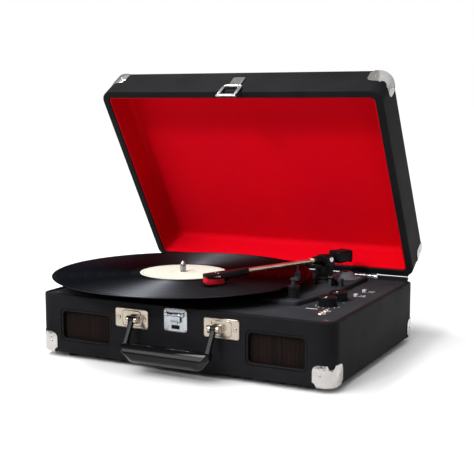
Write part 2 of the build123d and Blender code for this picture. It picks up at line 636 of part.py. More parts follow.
def cueing():
    """A curved lift bar under the tube, on a post that a lever raises through the plinth."""
    top = ARM_Z - TUBE_R - SEAT
    arc = Circle(CUE_ARC_R + CUE_BAR_W / 2) - Circle(CUE_ARC_R - CUE_BAR_W / 2)
    wedge = make_face(Polyline((0, 0), (-40, -46), (14, -60), close=True))
    bar = Pos(ARM_X, ARM_Y, top - 3) * extrude(arc & wedge, 3)
    cue_x, cue_y = cue_post_place()
    post = disc(CUE_POST_R, top - 3 - DECK_Z - 0.5, cue_x, cue_y, DECK_Z + 0.5)
    add("cue_bar", bar + post)
    lever_x, lever_y, lever_z = cue_lever_place()
    lever = rod_x(CUE_AXIS_R, 15, lever_x, lever_y, lever_z)
    lever += rod_x(3.4, 8.4, lever_x, lever_y, lever_z)
    stem = Pos(lever_x, lever_y, lever_z) * Rot(-25, 0, 0) * Pos(0, -9, 0) * Box(4, 18, 2.4)
    tip = Pos(lever_x, lever_y, lever_z) * Rot(-25, 0, 0) * Pos(0, -18, 0) * Box(7, 5, 3.2)
    add("cue_lever", lever + stem + fillet(tip.edges(), 1))


def cue_lever_place():
    return (PLINTH_RIGHT - CUE_LEVER_INSET, ARM_Y - CUE_LEVER_FRONT, PLINTH_Z + CUE_LEVER_RISE)


def arm_rest():
    """The rest post with its cradle, and the clip that swings over the parked tube."""
    cradle_z = ARM_Z - TUBE_R - SEAT
    post = turned([(0, DECK_Z + 0.5), (REST_POST_R, DECK_Z + 0.5), (REST_POST_R, PLINTH_Z), (REST_FLANGE_R, PLINTH_Z),
                   (REST_FLANGE_R, PLINTH_Z + 1), (REST_POST_R + 1, PLINTH_Z + 2.2), (REST_POST_R, PLINTH_Z + 6),
                   (REST_POST_R, cradle_z - 2.5), (0, cradle_z - 2.5)], REST_X, REST_Y)
    x, y, z = clip_place()
    ledge = block(2 * TUBE_R + CRADLE_W, 6, 2.5, REST_X + CRADLE_W / 2, REST_Y, cradle_z - 2.5)
    ledge = fillet(ledge.edges().filter_by(Axis.Y).sort_by(Axis.X)[:2], 1.2)
    upright = block(CRADLE_W, 6, z + 2 - cradle_z + 2.5, x, REST_Y, cradle_z - 2.5)
    upright = fillet(upright.edges().filter_by(Axis.Y).sort_by(Axis.Z)[-2:], CRADLE_W * 0.45)
    cradle = ledge + upright - rod_y(CLIP_PIN_R + RUN_GAP, 10, x, y, z)
    add("arm_rest_post", post + cradle)
    clip = rod_y(CLIP_PIN_R, 7, x, y - 0.5, z) + Pos(0, -3.4 - RUN_GAP, 0) * rod_y(2.2, 0.8, x, y, z)
    clip += block(1.6, 0.8, CLIP_L, x + 1.4, y - 3.4 - RUN_GAP, z)
    clip += block(3.4, 0.8, 1.6, x + 0.5, y - 3.4 - RUN_GAP, z + CLIP_L - 1.6)
    add("arm_clip", clip)


def clip_place():
    return (REST_X + TUBE_R + SEAT + CRADLE_W / 2, REST_Y, ARM_Z + TUBE_R - 0.5)


# ---------------------------------------------------------------- controls on the deck
def knob(y):
    body = disc(KNOB_R, KNOB_H, KNOB_X, y, DECK_Z + SEAT)
    body = chamfer(body.faces().sort_by(Axis.Z)[-1].edges(), 1)
    for index in range(KNOB_RIBS):
        angle = math.radians(360 / KNOB_RIBS * index)
        groove = block(0.8, 1.4, KNOB_H, 0, 0, DECK_Z + SEAT + 1.5)
        body -= Pos(KNOB_X + KNOB_R * math.cos(angle), y + KNOB_R * math.sin(angle), 0) * groove
    body -= block(1, KNOB_R * 0.7, 2, KNOB_X, y - KNOB_R * 0.5, DECK_Z + SEAT + KNOB_H - 0.6)
    return body + disc(KNOB_SHAFT_R, KNOB_H, KNOB_X, y, DECK_UNDER - 3)


def controls():
    add("volume_knob", knob(VOLUME_Y))
    add("function_knob", knob(FUNCTION_Y))
    pots = []
    for y in (VOLUME_Y, FUNCTION_Y):
        pot = disc(POT_R, POT_H, KNOB_X, y, DECK_UNDER - POT_H)
        pots.append(pot - disc(KNOB_SHAFT_R + RUN_GAP, POT_H, KNOB_X, y, DECK_UNDER - 3 - RUN_GAP * 2))
    add("knob_controls", *pots)
    sockets = []
    for y in JACK_Y:
        outline = [(JACK_R, DECK_UNDER - 12), (JACK_R + 3.4, DECK_UNDER - 12), (JACK_R + 3.4, DECK_UNDER),
                   (JACK_R + 2.2, DECK_UNDER), (JACK_R + 2.2, DECK_Z), (JACK_R + 3, DECK_Z),
                   (JACK_R + 2.4, DECK_Z + 0.8), (JACK_R, DECK_Z + 0.8)]
        sockets.append(turned(outline, JACK_X, y))
    add("audio_sockets", *sockets)
    for name, y in (("speed_switch", SPEED_Y), ("auto_stop_switch", AUTO_STOP_Y)):
        low = y - SWITCH_TRAVEL / 2
        lever = block(SWITCH_W, SWITCH_L, DECK_T + SWITCH_H, SWITCH_X, low, DECK_UNDER)
        lever = fillet(lever.faces().sort_by(Axis.Z)[-1].edges(), 0.8)
        add(name, lever)
    bodies = []
    for y in (SPEED_Y, AUTO_STOP_Y):
        bodies.append(block(SWITCH_W + 6, SWITCH_L + SWITCH_TRAVEL + 8, SWITCH_BODY_T,
                            SWITCH_X, y, DECK_UNDER - SWITCH_BODY_T - RUN_GAP))
    add("switch_bodies", *bodies)


def circuit_board():
    """The amplifier board on four short posts above the bottom panel."""
    floor = FOOT_H + BOTTOM_T
    depth = CASE_D - BOARD_CLEAR
    middle = KNOB_X - BOARD_ASIDE
    board = block(BOARD_W, depth, BOARD_T, middle, 0, floor + BOARD_LIFT)
    for x in (-1, 1):
        for y in (-1, 1):
            post_x = middle + x * (BOARD_W / 2 - BOARD_HOLE_INSET)
            board += disc(BOARD_POST_R, BOARD_LIFT, post_x, y * (depth / 2 - BOARD_HOLE_INSET), floor)
    add("circuit_board", board)


# ---------------------------------------------------------------- front fittings
def speakers():
    frames, cloths, drivers = [], [], []
    for side in (-1, 1):
        x, z = side * GRILLE_X, FOOT_H + GRILLE_Z
        depth = 5.0
        frame = front_plate(GRILLE_W - 2 * FIT, GRILLE_H - 2 * FIT, depth, GRILLE_R - FIT, x, FRONT_Y + depth + 0.6, z)
        window = front_plate(GRILLE_W - 2 * GRILLE_FRAME, GRILLE_H - 2 * GRILLE_FRAME, 20,
                             GRILLE_R - GRILLE_FRAME / 2, x, FRONT_Y + 10, z)
        frames.append(frame - window)
        cloths.append(front_plate(GRILLE_W - 2 * FIT, GRILLE_H - 2 * FIT, CLOTH_T, GRILLE_R - FIT,
                                  x, FRONT_Y + depth + 0.6 + CLOTH_T, z))
        back = FRONT_Y + WALL
        cone = turned([(0, 10), (7, 10), (SPEAKER_R - 4, 1), (SPEAKER_R, 1), (SPEAKER_R, 0), (SPEAKER_R + 1.5, 0),
                       (SPEAKER_R + 1.5, 2.5), (SPEAKER_R - 3, 3), (12, 14), (12, 22), (0, 22)])
        drivers.append(Pos(x, back, z) * Rot(-90, 0, 0) * cone)
    add("grille_frames", *frames)
    add("grille_cloths", *cloths)
    add("speaker_drivers", *drivers)


def bracket(side):
    """A pressed handle plate with a domed ear over the handle's pin."""
    x = side * BRACKET_X
    plate = front_plate(BRACKET_W, BRACKET_H, BRACKET_T, 2, x, FRONT_Y, HANDLE_Z)
    plate = fillet(plate.faces().sort_by(Axis.Y)[0].edges(), 0.7)
    ears = []
    for offset_x in (-1, 1):
        ear_x = side * HANDLE_LEG_X + offset_x * (HANDLE_LEG_W / 2 + 1.6 + SEAT)
        ear = rod_x(4.2, 3.2, ear_x, HANDLE_Y, HANDLE_Z)
        ear += block(3.2, HANDLE_AXIS_OUT, 8.4, ear_x, FRONT_Y - HANDLE_AXIS_OUT / 2, HANDLE_Z - 4.2)
        ears.append(ear)
    shape = plate + ears[0] + ears[1]
    return shape - rod_x(HANDLE_PIN_R + RUN_GAP, 30, side * HANDLE_LEG_X, HANDLE_Y, HANDLE_Z)


def handle():
    add("handle_brackets", bracket(-1), bracket(1))
    screws, legs, pins = [], [], []
    for side in (-1, 1):
        for shift in (-1, 1):
            x = side * BRACKET_X + shift * (BRACKET_W / 2 - 4.5)
            head = Pos(x, FRONT_Y - BRACKET_T, HANDLE_Z) * Rot(90, 0, 0) * turned([(0, 0), (2.4, 0), (1.9, 0.9), (0, 1.2)])
            screws.append(head)
        leg_x = side * HANDLE_LEG_X
        eye = rod_x(3.8, HANDLE_LEG_W, leg_x, HANDLE_Y, HANDLE_Z)
        path = [(HANDLE_Y - 3, HANDLE_Z - 2), (HANDLE_Y + 3, HANDLE_Z - 2),
                (FRONT_Y - GRIP_OUT + 5, FOOT_H + GRIP_Z + GRIP_H / 2 - 2),
                (FRONT_Y - GRIP_OUT - 3, FOOT_H + GRIP_Z + GRIP_H / 2 - 2)]
        strap = Plane((leg_x - HANDLE_LEG_W / 2, 0, 0), x_dir=(0, 1, 0), z_dir=(1, 0, 0))
        strap = extrude(strap * make_face(Polyline(*path, close=True)), HANDLE_LEG_W)
        leg = eye + strap - rod_x(HANDLE_PIN_R + RUN_GAP, 20, leg_x, HANDLE_Y, HANDLE_Z)
        legs.append(leg)
        pins.append(rod_x(HANDLE_PIN_R, HANDLE_LEG_W + 6.4 + 2 * SEAT, leg_x, HANDLE_Y, HANDLE_Z))
    add("bracket_screws", *screws)
    add("handle_pins", *pins)
    low = FOOT_H + GRIP_Z - GRIP_H / 2
    y = FRONT_Y - GRIP_OUT
    side_view = Polyline((-GRIP_W / 2 + 12, low), (GRIP_W / 2 - 12, low), (GRIP_W / 2, low + GRIP_H * 0.65),
                         (GRIP_W / 2, low + GRIP_H), (-GRIP_W / 2, low + GRIP_H), (-GRIP_W / 2, low + GRIP_H * 0.65),
                         close=True)
    face = Plane((0, y + GRIP_D / 2, 0), x_dir=(1, 0, 0), z_dir=(0, -1, 0)) * make_face(side_view)
    grip = extrude(face, GRIP_D)
    grip = fillet(grip.edges().filter_by(Axis.Y).sort_by(Axis.Z)[:4], 7)
    front = grip.faces().sort_by(Axis.Y)[0]
    back = grip.faces().sort_by(Axis.Y)[-1]
    grip = fillet(front.edges() + back.edges(), 3.5)
    for leg in legs:
        grip += leg
    add("handle_grip", grip)


def latch():
    """The lid's loop on its plate, and the base's catch with its turning tongue."""
    z = RIM_Z - CATCH_H / 2 - RIM_R
    plate = front_plate(CATCH_W, CATCH_H, CATCH_T, 4, 0, FRONT_Y, z)
    plate -= front_plate(10, 4, 10, 1, 0, FRONT_Y + 5, z - CATCH_H / 4 - 1)
    tongue_z = z + CATCH_H / 4
    tongue_y = FRONT_Y - CATCH_T - 2.2
    for side in (-1, 1):
        lug = block(2.4, 3.4, 4.4, side * 9.5, tongue_y + 0.6, tongue_z - 2.2)
        plate += fillet(lug.edges().filter_by(Axis.X).sort_by(Axis.Y)[:2], 1.2)
    plate -= rod_x(1.0 + RUN_GAP, 40, 0, tongue_y, tongue_z)
    add("catch_plate", plate)
    tongue = rod_x(1.7, 15.6, 0, tongue_y, tongue_z) + rod_x(1.0, 21.4, 0, tongue_y, tongue_z)
    blade = front_plate(13, 9, 1.4, 1.2, 0, tongue_y + 0.7, tongue_z - 4.5)
    hook = front_plate(9, 3, 3.2, 1.0, 0, tongue_y + 0.7, tongue_z - 8)
    add("catch_tongue", tongue + blade + hook)
    pivot_z = LID_RIM_Z + LATCH_PIVOT_V
    pivot_y = FRONT_Y - 2.2
    lid_plate = front_plate(LATCH_PLATE_W, LATCH_PLATE_TOP - LATCH_PIVOT_V - 2, 1.4, 2, 0, FRONT_Y,
                            LID_RIM_Z + (LATCH_PLATE_TOP + LATCH_PIVOT_V + 2) / 2)
    roll = rod_x(2.0, LATCH_PLATE_W, 0, pivot_y, pivot_z)
    roll += block(LATCH_PLATE_W, 1.4, 4, 0, FRONT_Y - 0.7 - 0.15, pivot_z)
    lid_plate = lid_plate + roll - rod_x(LOOP_WIRE_R + RUN_GAP, LATCH_W + 4, 0, pivot_y, pivot_z)
    add("latch_plate", lid_opened(lid_plate))
    half = LATCH_W / 2 - LOOP_WIRE_R
    loop = rod_x(LOOP_WIRE_R, 2 * half, 0, pivot_y, pivot_z)
    loop += rod_x(LOOP_WIRE_R, 2 * half, 0, pivot_y, pivot_z - LOOP_L)
    for side in (-1, 1):
        loop += disc(LOOP_WIRE_R, LOOP_L, side * half, pivot_y, pivot_z - LOOP_L)
        for level in (pivot_z, pivot_z - LOOP_L):
            loop += Pos(side * half, pivot_y, level) * Sphere(LOOP_WIRE_R)
    add("latch_loop", lid_opened(loop))


def rear_ports():
    jacks = []
    for x in RCA_X:
        outline = [(1.6, -PORT_DEPTH), (RCA_R, -PORT_DEPTH), (RCA_R, 0), (RCA_R + PORT_FLANGE, 0),
                   (RCA_R + PORT_FLANGE, 1), (RCA_R, 1.4), (RCA_R, 8), (RCA_R - 0.5, 8.5), (1.6, 8.5)]
        jacks.append(Pos(x, CASE_D / 2, FOOT_H + REAR_Z) * Rot(-90, 0, 0) * turned(outline))
    add("rca_sockets", *jacks)
    outline = [(DC_R, -PORT_DEPTH), (DC_R + PORT_FLANGE, -PORT_DEPTH), (DC_R + PORT_FLANGE, 0),
               (DC_R + PORT_FLANGE + 1.4, 0), (DC_R + PORT_FLANGE + 1, 0.8), (DC_R, 0.8)]
    add("dc_socket", Pos(DC_X, CASE_D / 2, FOOT_H + REAR_Z) * Rot(-90, 0, 0) * turned(outline))


# ---------------------------------------------------------------- assembly
for build in (base_case, corner_hardware, lid_case, hinge_pair, deck, platter_set, drive, tonearm_base,
              turret, arm, headshell, cueing, arm_rest, controls, circuit_board, speakers, handle, latch, rear_ports):
    build()

boxes = [solid.bounding_box() for solids in parts.values() for solid in solids]
SHIFT = (-(min(box.min.X for box in boxes) + max(box.max.X for box in boxes)) / 2,
         -(min(box.min.Y for box in boxes) + max(box.max.Y for box in boxes)) / 2, 0)

os.makedirs("parts", exist_ok=True)
for name, solids in parts.items():
    placed = [Pos(*SHIFT) * solid for solid in solids]
    export_step(placed[0] if len(placed) == 1 else Compound(children=placed), f"parts/{name}.step")
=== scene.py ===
"""Looks of the suitcase record player: finishes, fine pieces, camera, floor and studio light."""
import json
import math

import bmesh
import bpy
from mathutils import Matrix, Vector


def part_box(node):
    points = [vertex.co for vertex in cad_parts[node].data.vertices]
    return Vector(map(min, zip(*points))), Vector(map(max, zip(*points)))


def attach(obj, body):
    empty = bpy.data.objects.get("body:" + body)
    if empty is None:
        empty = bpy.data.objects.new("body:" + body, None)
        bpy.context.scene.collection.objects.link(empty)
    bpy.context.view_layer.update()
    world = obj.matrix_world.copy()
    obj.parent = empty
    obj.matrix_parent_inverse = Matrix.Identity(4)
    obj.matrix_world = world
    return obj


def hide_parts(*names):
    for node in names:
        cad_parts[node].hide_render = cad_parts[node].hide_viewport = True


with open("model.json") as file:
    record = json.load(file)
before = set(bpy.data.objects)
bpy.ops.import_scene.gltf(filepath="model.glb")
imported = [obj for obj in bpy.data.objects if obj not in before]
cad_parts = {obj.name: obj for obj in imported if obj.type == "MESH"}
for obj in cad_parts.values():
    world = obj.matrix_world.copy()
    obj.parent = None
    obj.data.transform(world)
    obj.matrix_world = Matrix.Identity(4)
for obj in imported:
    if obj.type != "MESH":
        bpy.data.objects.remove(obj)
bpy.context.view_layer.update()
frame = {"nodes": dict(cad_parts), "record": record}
NODES = frame["nodes"]
RECORD = frame["record"]
SLOT_OF = {entry["node"]: entry["material_slot"] for entry in RECORD["subparts"]}
BODY_OF = {node: body for body, nodes in RECORD["behaviour"]["bodies"].items() for node in nodes}
JOINTS = {joint["name"]: joint for joint in RECORD["behaviour"]["joints"]}
# Sizes of pieces are in millimetres, and MM turns them into metres; camera, lights and relief are in metres.
MM = 0.001
# The turn about X from the shut lid to the open one.
LID_ANGLE = math.radians(-58.1)

# ---------------------------------------------------------------- view
CAMERA_AIM = Vector((0.0048, 0.0283, 0.1268))
CAMERA_DISTANCE = 1.17
CAMERA_AZIMUTH = 26.92
CAMERA_ELEVATION = 7.87
CAMERA_LENS = 74.99


def add_camera():
    """Look at the aim from the front right, a little above the table."""
    azimuth, elevation = math.radians(CAMERA_AZIMUTH), math.radians(CAMERA_ELEVATION)
    back = Vector((math.sin(azimuth) * math.cos(elevation), -math.cos(azimuth) * math.cos(elevation),
                   math.sin(elevation)))
    data = bpy.data.cameras.new("camera")
    data.lens = CAMERA_LENS
    data.sensor_width = 36.0
    camera = bpy.data.objects.new("camera", data)
    camera.location = CAMERA_AIM + back * CAMERA_DISTANCE
    camera.rotation_euler = (-back).to_track_quat("-Z", "Y").to_euler()
    bpy.context.scene.collection.objects.link(camera)
    bpy.context.scene.camera = camera


# ---------------------------------------------------------------- studio
HORIZON = 0.12
ZENITH = 0.6
KEY_LIGHT = 3.4
KEY_FROM = (-0.25, -0.66, 0.72)
REAR_LIGHT = 0.7
REAR_FROM = (0.5, 1.0, 0.9)
SOFTBOX_POWER = 9.0
SOFTBOX_AT = (-0.5, -0.1, 1.2)
SOFTBOX_AIM = (0, -0.1, 0.05)
SPOT_POWER = 120.0
SPOT_AT = (-0.3, -1.5, 1.15)
SPOT_AIM = (0.02, 0.125, 0.10)
FLOOR_REACH = 40.0
FLOOR_GREY = 0.80
FLOOR_MOTTLE = 0.795


def add_light(name, kind, place, aim, power, **values):
    """A light of any kind, turned from its place towards its aim."""
    data = bpy.data.lights.new(name, kind)
    data.energy = power
    for key, value in values.items():
        setattr(data, key, value)
    light = bpy.data.objects.new(name, data)
    light.location = place
    light.rotation_euler = (Vector(aim) - Vector(place)).to_track_quat("-Z", "Y").to_euler()
    bpy.context.scene.collection.objects.link(light)


def add_world():
    """A white surround for the view; what lights the object is dim at the horizon and bright above."""
    world = bpy.data.worlds.new("studio")
    world.use_nodes = True
    tree = world.node_tree
    direction = tree.nodes.new("ShaderNodeTexCoord")
    parts = tree.nodes.new("ShaderNodeSeparateXYZ")
    tree.links.new(direction.outputs["Generated"], parts.inputs["Vector"])
    sky = tree.nodes.new("ShaderNodeMapRange")
    sky.interpolation_type = "SMOOTHSTEP"
    sky.inputs["To Min"].default_value = HORIZON
    sky.inputs["To Max"].default_value = ZENITH
    tree.links.new(parts.outputs["Z"], sky.inputs["Value"])
    seen = tree.nodes.new("ShaderNodeLightPath")
    level = tree.nodes.new("ShaderNodeMapRange")
    level.inputs["To Max"].default_value = 1.0
    tree.links.new(sky.outputs["Result"], level.inputs["To Min"])
    tree.links.new(seen.outputs["Is Camera Ray"], level.inputs["Value"])
    background = tree.nodes["Background"]
    background.inputs["Color"].default_value = (1, 1, 1, 1)
    tree.links.new(level.outputs["Result"], background.inputs["Strength"])
    bpy.context.scene.world = world
    bpy.context.scene.view_settings.view_transform = "Standard"


def add_floor(paint):
    """One wide square under the feet."""
    mesh = bpy.data.meshes.new("floor")
    corners = [(x * FLOOR_REACH, y * FLOOR_REACH, 0) for x, y in ((-1, -1), (1, -1), (1, 1), (-1, 1))]
    mesh.from_pydata(corners, [], [(0, 1, 2, 3)])
    mesh.materials.append(paint.material)
    floor = bpy.data.objects.new("floor", mesh)
    bpy.context.scene.collection.objects.link(floor)


def add_studio():
    """A pale floor, a soft key light from the front left, a fill, a softbox and a spot on the lining."""
    add_world()
    add_light("key_light", "SUN", KEY_FROM, (0, 0, 0), KEY_LIGHT, angle=math.radians(55))
    add_light("rear_fill", "SUN", REAR_FROM, (0, 0, 0), REAR_LIGHT, angle=math.radians(80))
    add_light("softbox", "AREA", SOFTBOX_AT, SOFTBOX_AIM, SOFTBOX_POWER, shape="RECTANGLE", size=0.5,
              size_y=0.25)
    add_light("lining_spot", "SPOT", SPOT_AT, SPOT_AIM, SPOT_POWER, spot_size=math.radians(17),
              spot_blend=1.0, shadow_soft_size=0.15)
    paint = Finish("floor", [FLOOR_GREY] * 3, roughness=0.8)
    paint.mottle([FLOOR_MOTTLE] * 3, scale=2.0)
    add_floor(paint)


# ---------------------------------------------------------------- meshes
def place(name, source, body, slot, *nodes):
    """Turn a bmesh or mesh into a piece that rides on a body and stands for the given CAD nodes."""
    mesh = source
    if isinstance(source, bmesh.types.BMesh):
        mesh = bpy.data.meshes.new(name)
        bmesh.ops.recalc_face_normals(source, faces=source.faces)
        source.to_mesh(mesh)
        source.free()
    mesh.materials.clear()
    mesh.materials.append(PAINTS[slot].material)
    shade(mesh)
    piece = bpy.data.objects.new(name, mesh)
    bpy.context.scene.collection.objects.link(piece)
    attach(piece, body)
    if nodes:
        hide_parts(*nodes)


def shade(mesh, angle=32):
    """Smooth shading that breaks at the real edges."""
    mesh.polygons.foreach_set("use_smooth", [True] * len(mesh.polygons))
    mesh.set_sharp_from_angle(angle=math.radians(angle))


def softened(node, width, segments=2, sharp=38):
    """A CAD node's own shape with its hard edges rounded, ready to be added to."""
    work = bmesh.new()
    work.from_mesh(NODES[node].data)
    bmesh.ops.remove_doubles(work, verts=work.verts, dist=0.002 * MM)
    bmesh.ops.dissolve_limit(work, angle_limit=math.radians(0.5), verts=work.verts, edges=work.edges)
    hard = [edge for edge in work.edges
            if len(edge.link_faces) == 2 and edge.calc_face_angle() > math.radians(sharp)]
    bmesh.ops.bevel(work, geom=hard, offset=width * MM, segments=segments, profile=0.6, affect="EDGES",
                    clamp_overlap=True)
    return work


def joined(work, other):
    """Add one bmesh to another."""
    mesh = bpy.data.meshes.new("joined")
    other.to_mesh(mesh)
    other.free()
    work.from_mesh(mesh)
    bpy.data.meshes.remove(mesh)


def turned(outline, centre=(0, 0, 0), axis=(0, 0, 1), segments=48):
    """Turn a (radius, height) outline, in millimetres, about an axis through a centre in metres."""
    work = bmesh.new()
    rings = []
    for radius, height in outline:
        if radius < 1e-6:
            rings.append([work.verts.new((0, 0, height * MM))])
            continue
        rings.append([work.verts.new((radius * MM * math.cos(2 * math.pi * step / segments),
                                      radius * MM * math.sin(2 * math.pi * step / segments), height * MM))
                      for step in range(segments)])
    for first, second in zip(rings, rings[1:]):
        for step in range(segments):
            after = (step + 1) % segments
            corners = {id(vert): vert for vert in (first[step % len(first)], first[after % len(first)],
                                                   second[after % len(second)], second[step % len(second)])}
            if len(corners) > 2:
                work.faces.new(list(corners.values()))
    turn = Vector((0, 0, 1)).rotation_difference(Vector(axis)).to_matrix().to_4x4()
    bmesh.ops.transform(work, matrix=Matrix.Translation(centre) @ turn, verts=work.verts)
    return work


def rounded_outline(width, height, radius, steps=6):
    """Corner points of a rounded rectangle about the origin, in its own plane."""
    points = []
    for turn, (side_x, side_y) in enumerate(((1, 1), (-1, 1), (-1, -1), (1, -1))):
        for step in range(steps + 1):
            angle = math.radians(90 * turn + 90 * step / steps)
            points.append((side_x * (width / 2 - radius) + radius * math.cos(angle),
                           side_y * (height / 2 - radius) + radius * math.sin(angle)))
    return points


def lofted(rings, close_ends=True):
    """Skin a list of rings of points, each ring with as many points as the next."""
    work = bmesh.new()
    made = [[work.verts.new(point) for point in ring] for ring in rings]
    for first, second in zip(made, made[1:]):
        count = len(first)
        for step in range(count):
            after = (step + 1) % count
            work.faces.new((first[step], first[after], second[after], second[step]))
    if close_ends:
        work.faces.new(made[0])
        work.faces.new(made[-1])
    return work


def tube(points, radius, closed=False, segments=10):
    """A round wire along a list of points in metres."""
    path = [Vector(point) for point in points]
    count = len(path)
    rings = []
    guide = None
    for index, point in enumerate(path):
        before = path[(index - 1) % count] if closed or index else point
        after = path[(index + 1) % count] if closed or index < count - 1 else point
        along = (after - before).normalized()
        if guide is None:
            guide = along.orthogonal().normalized()
        guide = (guide - along * guide.dot(along)).normalized()
        side = along.cross(guide)
        rings.append([point + (guide * math.cos(2 * math.pi * step / segments)
                               + side * math.sin(2 * math.pi * step / segments)) * radius * MM
                      for step in range(segments)])
    if closed:
        return lofted(rings + [rings[0]], close_ends=False)
    return lofted(rings)


def rim(centre, width, height, corner, wire):
    """A round wire along a rounded rectangle that faces the front; its centre is in metres."""
    outline = rounded_outline(width, height, corner)
    return tube([Vector(centre) + Vector((x, 0, z)) * MM for x, z in outline], wire, closed=True)


def rounded_box(size, centre, bevel, turn=None):
    """A block with rolled edges; size and bevel in millimetres, centre in metres."""
    work = bmesh.new()
    bmesh.ops.create_cube(work, size=1.0)
    bmesh.ops.scale(work, vec=[value * MM for value in size], verts=work.verts)
    bmesh.ops.bevel(work, geom=list(work.edges), offset=bevel * MM, segments=3, profile=0.5, affect="EDGES")
    matrix = Matrix.Translation(centre) @ (turn.to_4x4() if turn else Matrix.Identity(4))
    bmesh.ops.transform(work, matrix=matrix, verts=work.verts)
    return work


def middle(node):
    """The centre of a node's box."""
    low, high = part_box(node)
    return (Vector(low) + Vector(high)) / 2


def dome_screw(radius, height, centre, axis):
    """The domed head of a small screw or rivet."""
    outline = [(0, height)]
    for step in range(1, 6):
        angle = math.radians(90 * step / 5)
        outline.append((radius * math.sin(angle), height * math.cos(angle)))
    outline.append((radius, -0.2))
    return turned(outline, centre, axis, segments=20)


# ---------------------------------------------------------------- finishes
class Finish:
    """A Principled material whose colour, gloss and relief are built up step by step."""

    def __init__(self, name, colour, roughness=0.5, metallic=0.0):
        self.material = bpy.data.materials.new(name)
        self.material.use_nodes = True
        self.tree = self.material.node_tree
        self.shader = self.tree.nodes["Principled BSDF"]
        self.colour = (*colour, 1.0)
        self.shader.inputs["Base Color"].default_value = self.colour
        self.shader.inputs["Roughness"].default_value = roughness
        self.shader.inputs["Metallic"].default_value = metallic
        self.normal = None
        self.coords = self.tree.nodes.new("ShaderNodeTexCoord").outputs["Object"]

    def set(self, **values):
        """Set shader sockets by name, with underscores for the spaces."""
        for name, value in values.items():
            self.shader.inputs[name.replace("_", " ")].default_value = value
        return self

    def node(self, kind, **values):
        """A new node; each value goes to the property, or else the socket, of that name."""
        made = self.tree.nodes.new(kind)
        for name, value in values.items():
            if hasattr(made, name):
                setattr(made, name, value)
            else:
                made.inputs[name].default_value = value
        return made

    def link(self, source, target):
        self.tree.links.new(source, target)

    def math(self, operation, first, second=None):
        """A Math node; each operand is a socket or a number."""
        made = self.node("ShaderNodeMath", operation=operation)
        for socket, value in zip(made.inputs, (first, second)):
            if value is None:
                continue
            if isinstance(value, (int, float)):
                socket.default_value = value
            else:
                self.link(value, socket)
        return made.outputs[0]

    def stretched(self, stretch):
        """Texture coordinates drawn out along an axis, for brushed or woven surfaces."""
        mapping = self.node("ShaderNodeMapping")
        mapping.inputs["Scale"].default_value = stretch
        self.link(self.coords, mapping.inputs["Vector"])
        return mapping.outputs["Vector"]

    def noise(self, scale, detail=4.0, stretch=None):
        """Soft noise in the part's own space, drawn out along the axes where asked."""
        made = self.node("ShaderNodeTexNoise", Scale=scale, Detail=detail)
        self.link(self.stretched(stretch) if stretch else self.coords, made.inputs["Vector"])
        return made.outputs["Fac"]

    def mix_colour(self, factor, other, low=0.3, high=0.7):
        """Blend the base colour towards another where the factor runs from low to high."""
        spread = self.node("ShaderNodeMapRange")
        spread.inputs["From Min"].default_value = low
        spread.inputs["From Max"].default_value = high
        self.link(factor, spread.inputs["Value"])
        mixer = self.node("ShaderNodeMix", data_type="RGBA")
        self.link(spread.outputs["Result"], mixer.inputs["Factor"])
        target = self.shader.inputs["Base Color"]
        if target.is_linked:
            self.link(target.links[0].from_socket, mixer.inputs[6])
        else:
            mixer.inputs[6].default_value = self.colour
        mixer.inputs[7].default_value = (*other, 1.0)
        self.link(mixer.outputs[2], target)
        return self

    def mottle(self, other, scale=40.0, low=0.35, high=0.65):
        """Patches of a second colour."""
        return self.mix_colour(self.noise(scale), other, low, high)

    def gloss(self, low, high, scale=60.0):
        """Roughness that wanders between two values."""
        return self.gloss_by(self.noise(scale, 3.0), low, high)

    def gloss_by(self, factor, low, high):
        """Roughness that follows a factor from one value to the other."""
        spread = self.node("ShaderNodeMapRange")
        spread.inputs["To Min"].default_value = low
        spread.inputs["To Max"].default_value = high
        self.link(factor, spread.inputs["Value"])
        self.link(spread.outputs["Result"], self.shader.inputs["Roughness"])
        return self

    def bump(self, height, depth):
        """Relief of the given depth in metres, on top of any relief made before."""
        made = self.node("ShaderNodeBump", Strength=1.0, Distance=depth)
        self.link(height, made.inputs["Height"])
        if self.normal:
            self.link(self.normal, made.inputs["Normal"])
        self.normal = made.outputs["Normal"]
        self.link(self.normal, self.shader.inputs["Normal"])
        return self

    def pebbles(self, size, depth):
        """Rounded grain such as embossed leathercloth has."""
        cells = self.node("ShaderNodeTexVoronoi", feature="SMOOTH_F1", Scale=1.0 / size)
        wobble = self.node("ShaderNodeTexNoise", Scale=0.5 / size, Detail=2.0)
        self.link(self.coords, wobble.inputs["Vector"])
        shift = self.node("ShaderNodeMix", data_type="VECTOR")
        shift.inputs["Factor"].default_value = size * 0.6
        self.link(self.coords, shift.inputs[4])
        self.link(wobble.outputs["Color"], shift.inputs[5])
        self.link(shift.outputs[1], cells.inputs["Vector"])
        return self.bump(cells.outputs["Distance"], -depth)

    def axis(self, name):
        """One coordinate of the part's own space."""
        parts = self.node("ShaderNodeSeparateXYZ")
        self.link(self.coords, parts.inputs["Vector"])
        return parts.outputs[name]

    def threads(self, pitch, axis):
        """A sine wave across an axis, one wave for each thread."""
        return self.math("SINE", self.math("MULTIPLY", self.axis(axis), 2 * math.pi / pitch))

    def radius_from(self, centre):
        """Distance from an upright axis, in metres."""
        shifted = self.node("ShaderNodeVectorMath", operation="SUBTRACT")
        shifted.inputs[1].default_value = centre
        self.link(self.coords, shifted.inputs[0])
        flat = self.node("ShaderNodeVectorMath", operation="MULTIPLY")
        flat.inputs[1].default_value = (1, 1, 0)
        self.link(shifted.outputs[0], flat.inputs[0])
        length = self.node("ShaderNodeVectorMath", operation="LENGTH")
        self.link(flat.outputs[0], length.inputs[0])
        return length.outputs["Value"]

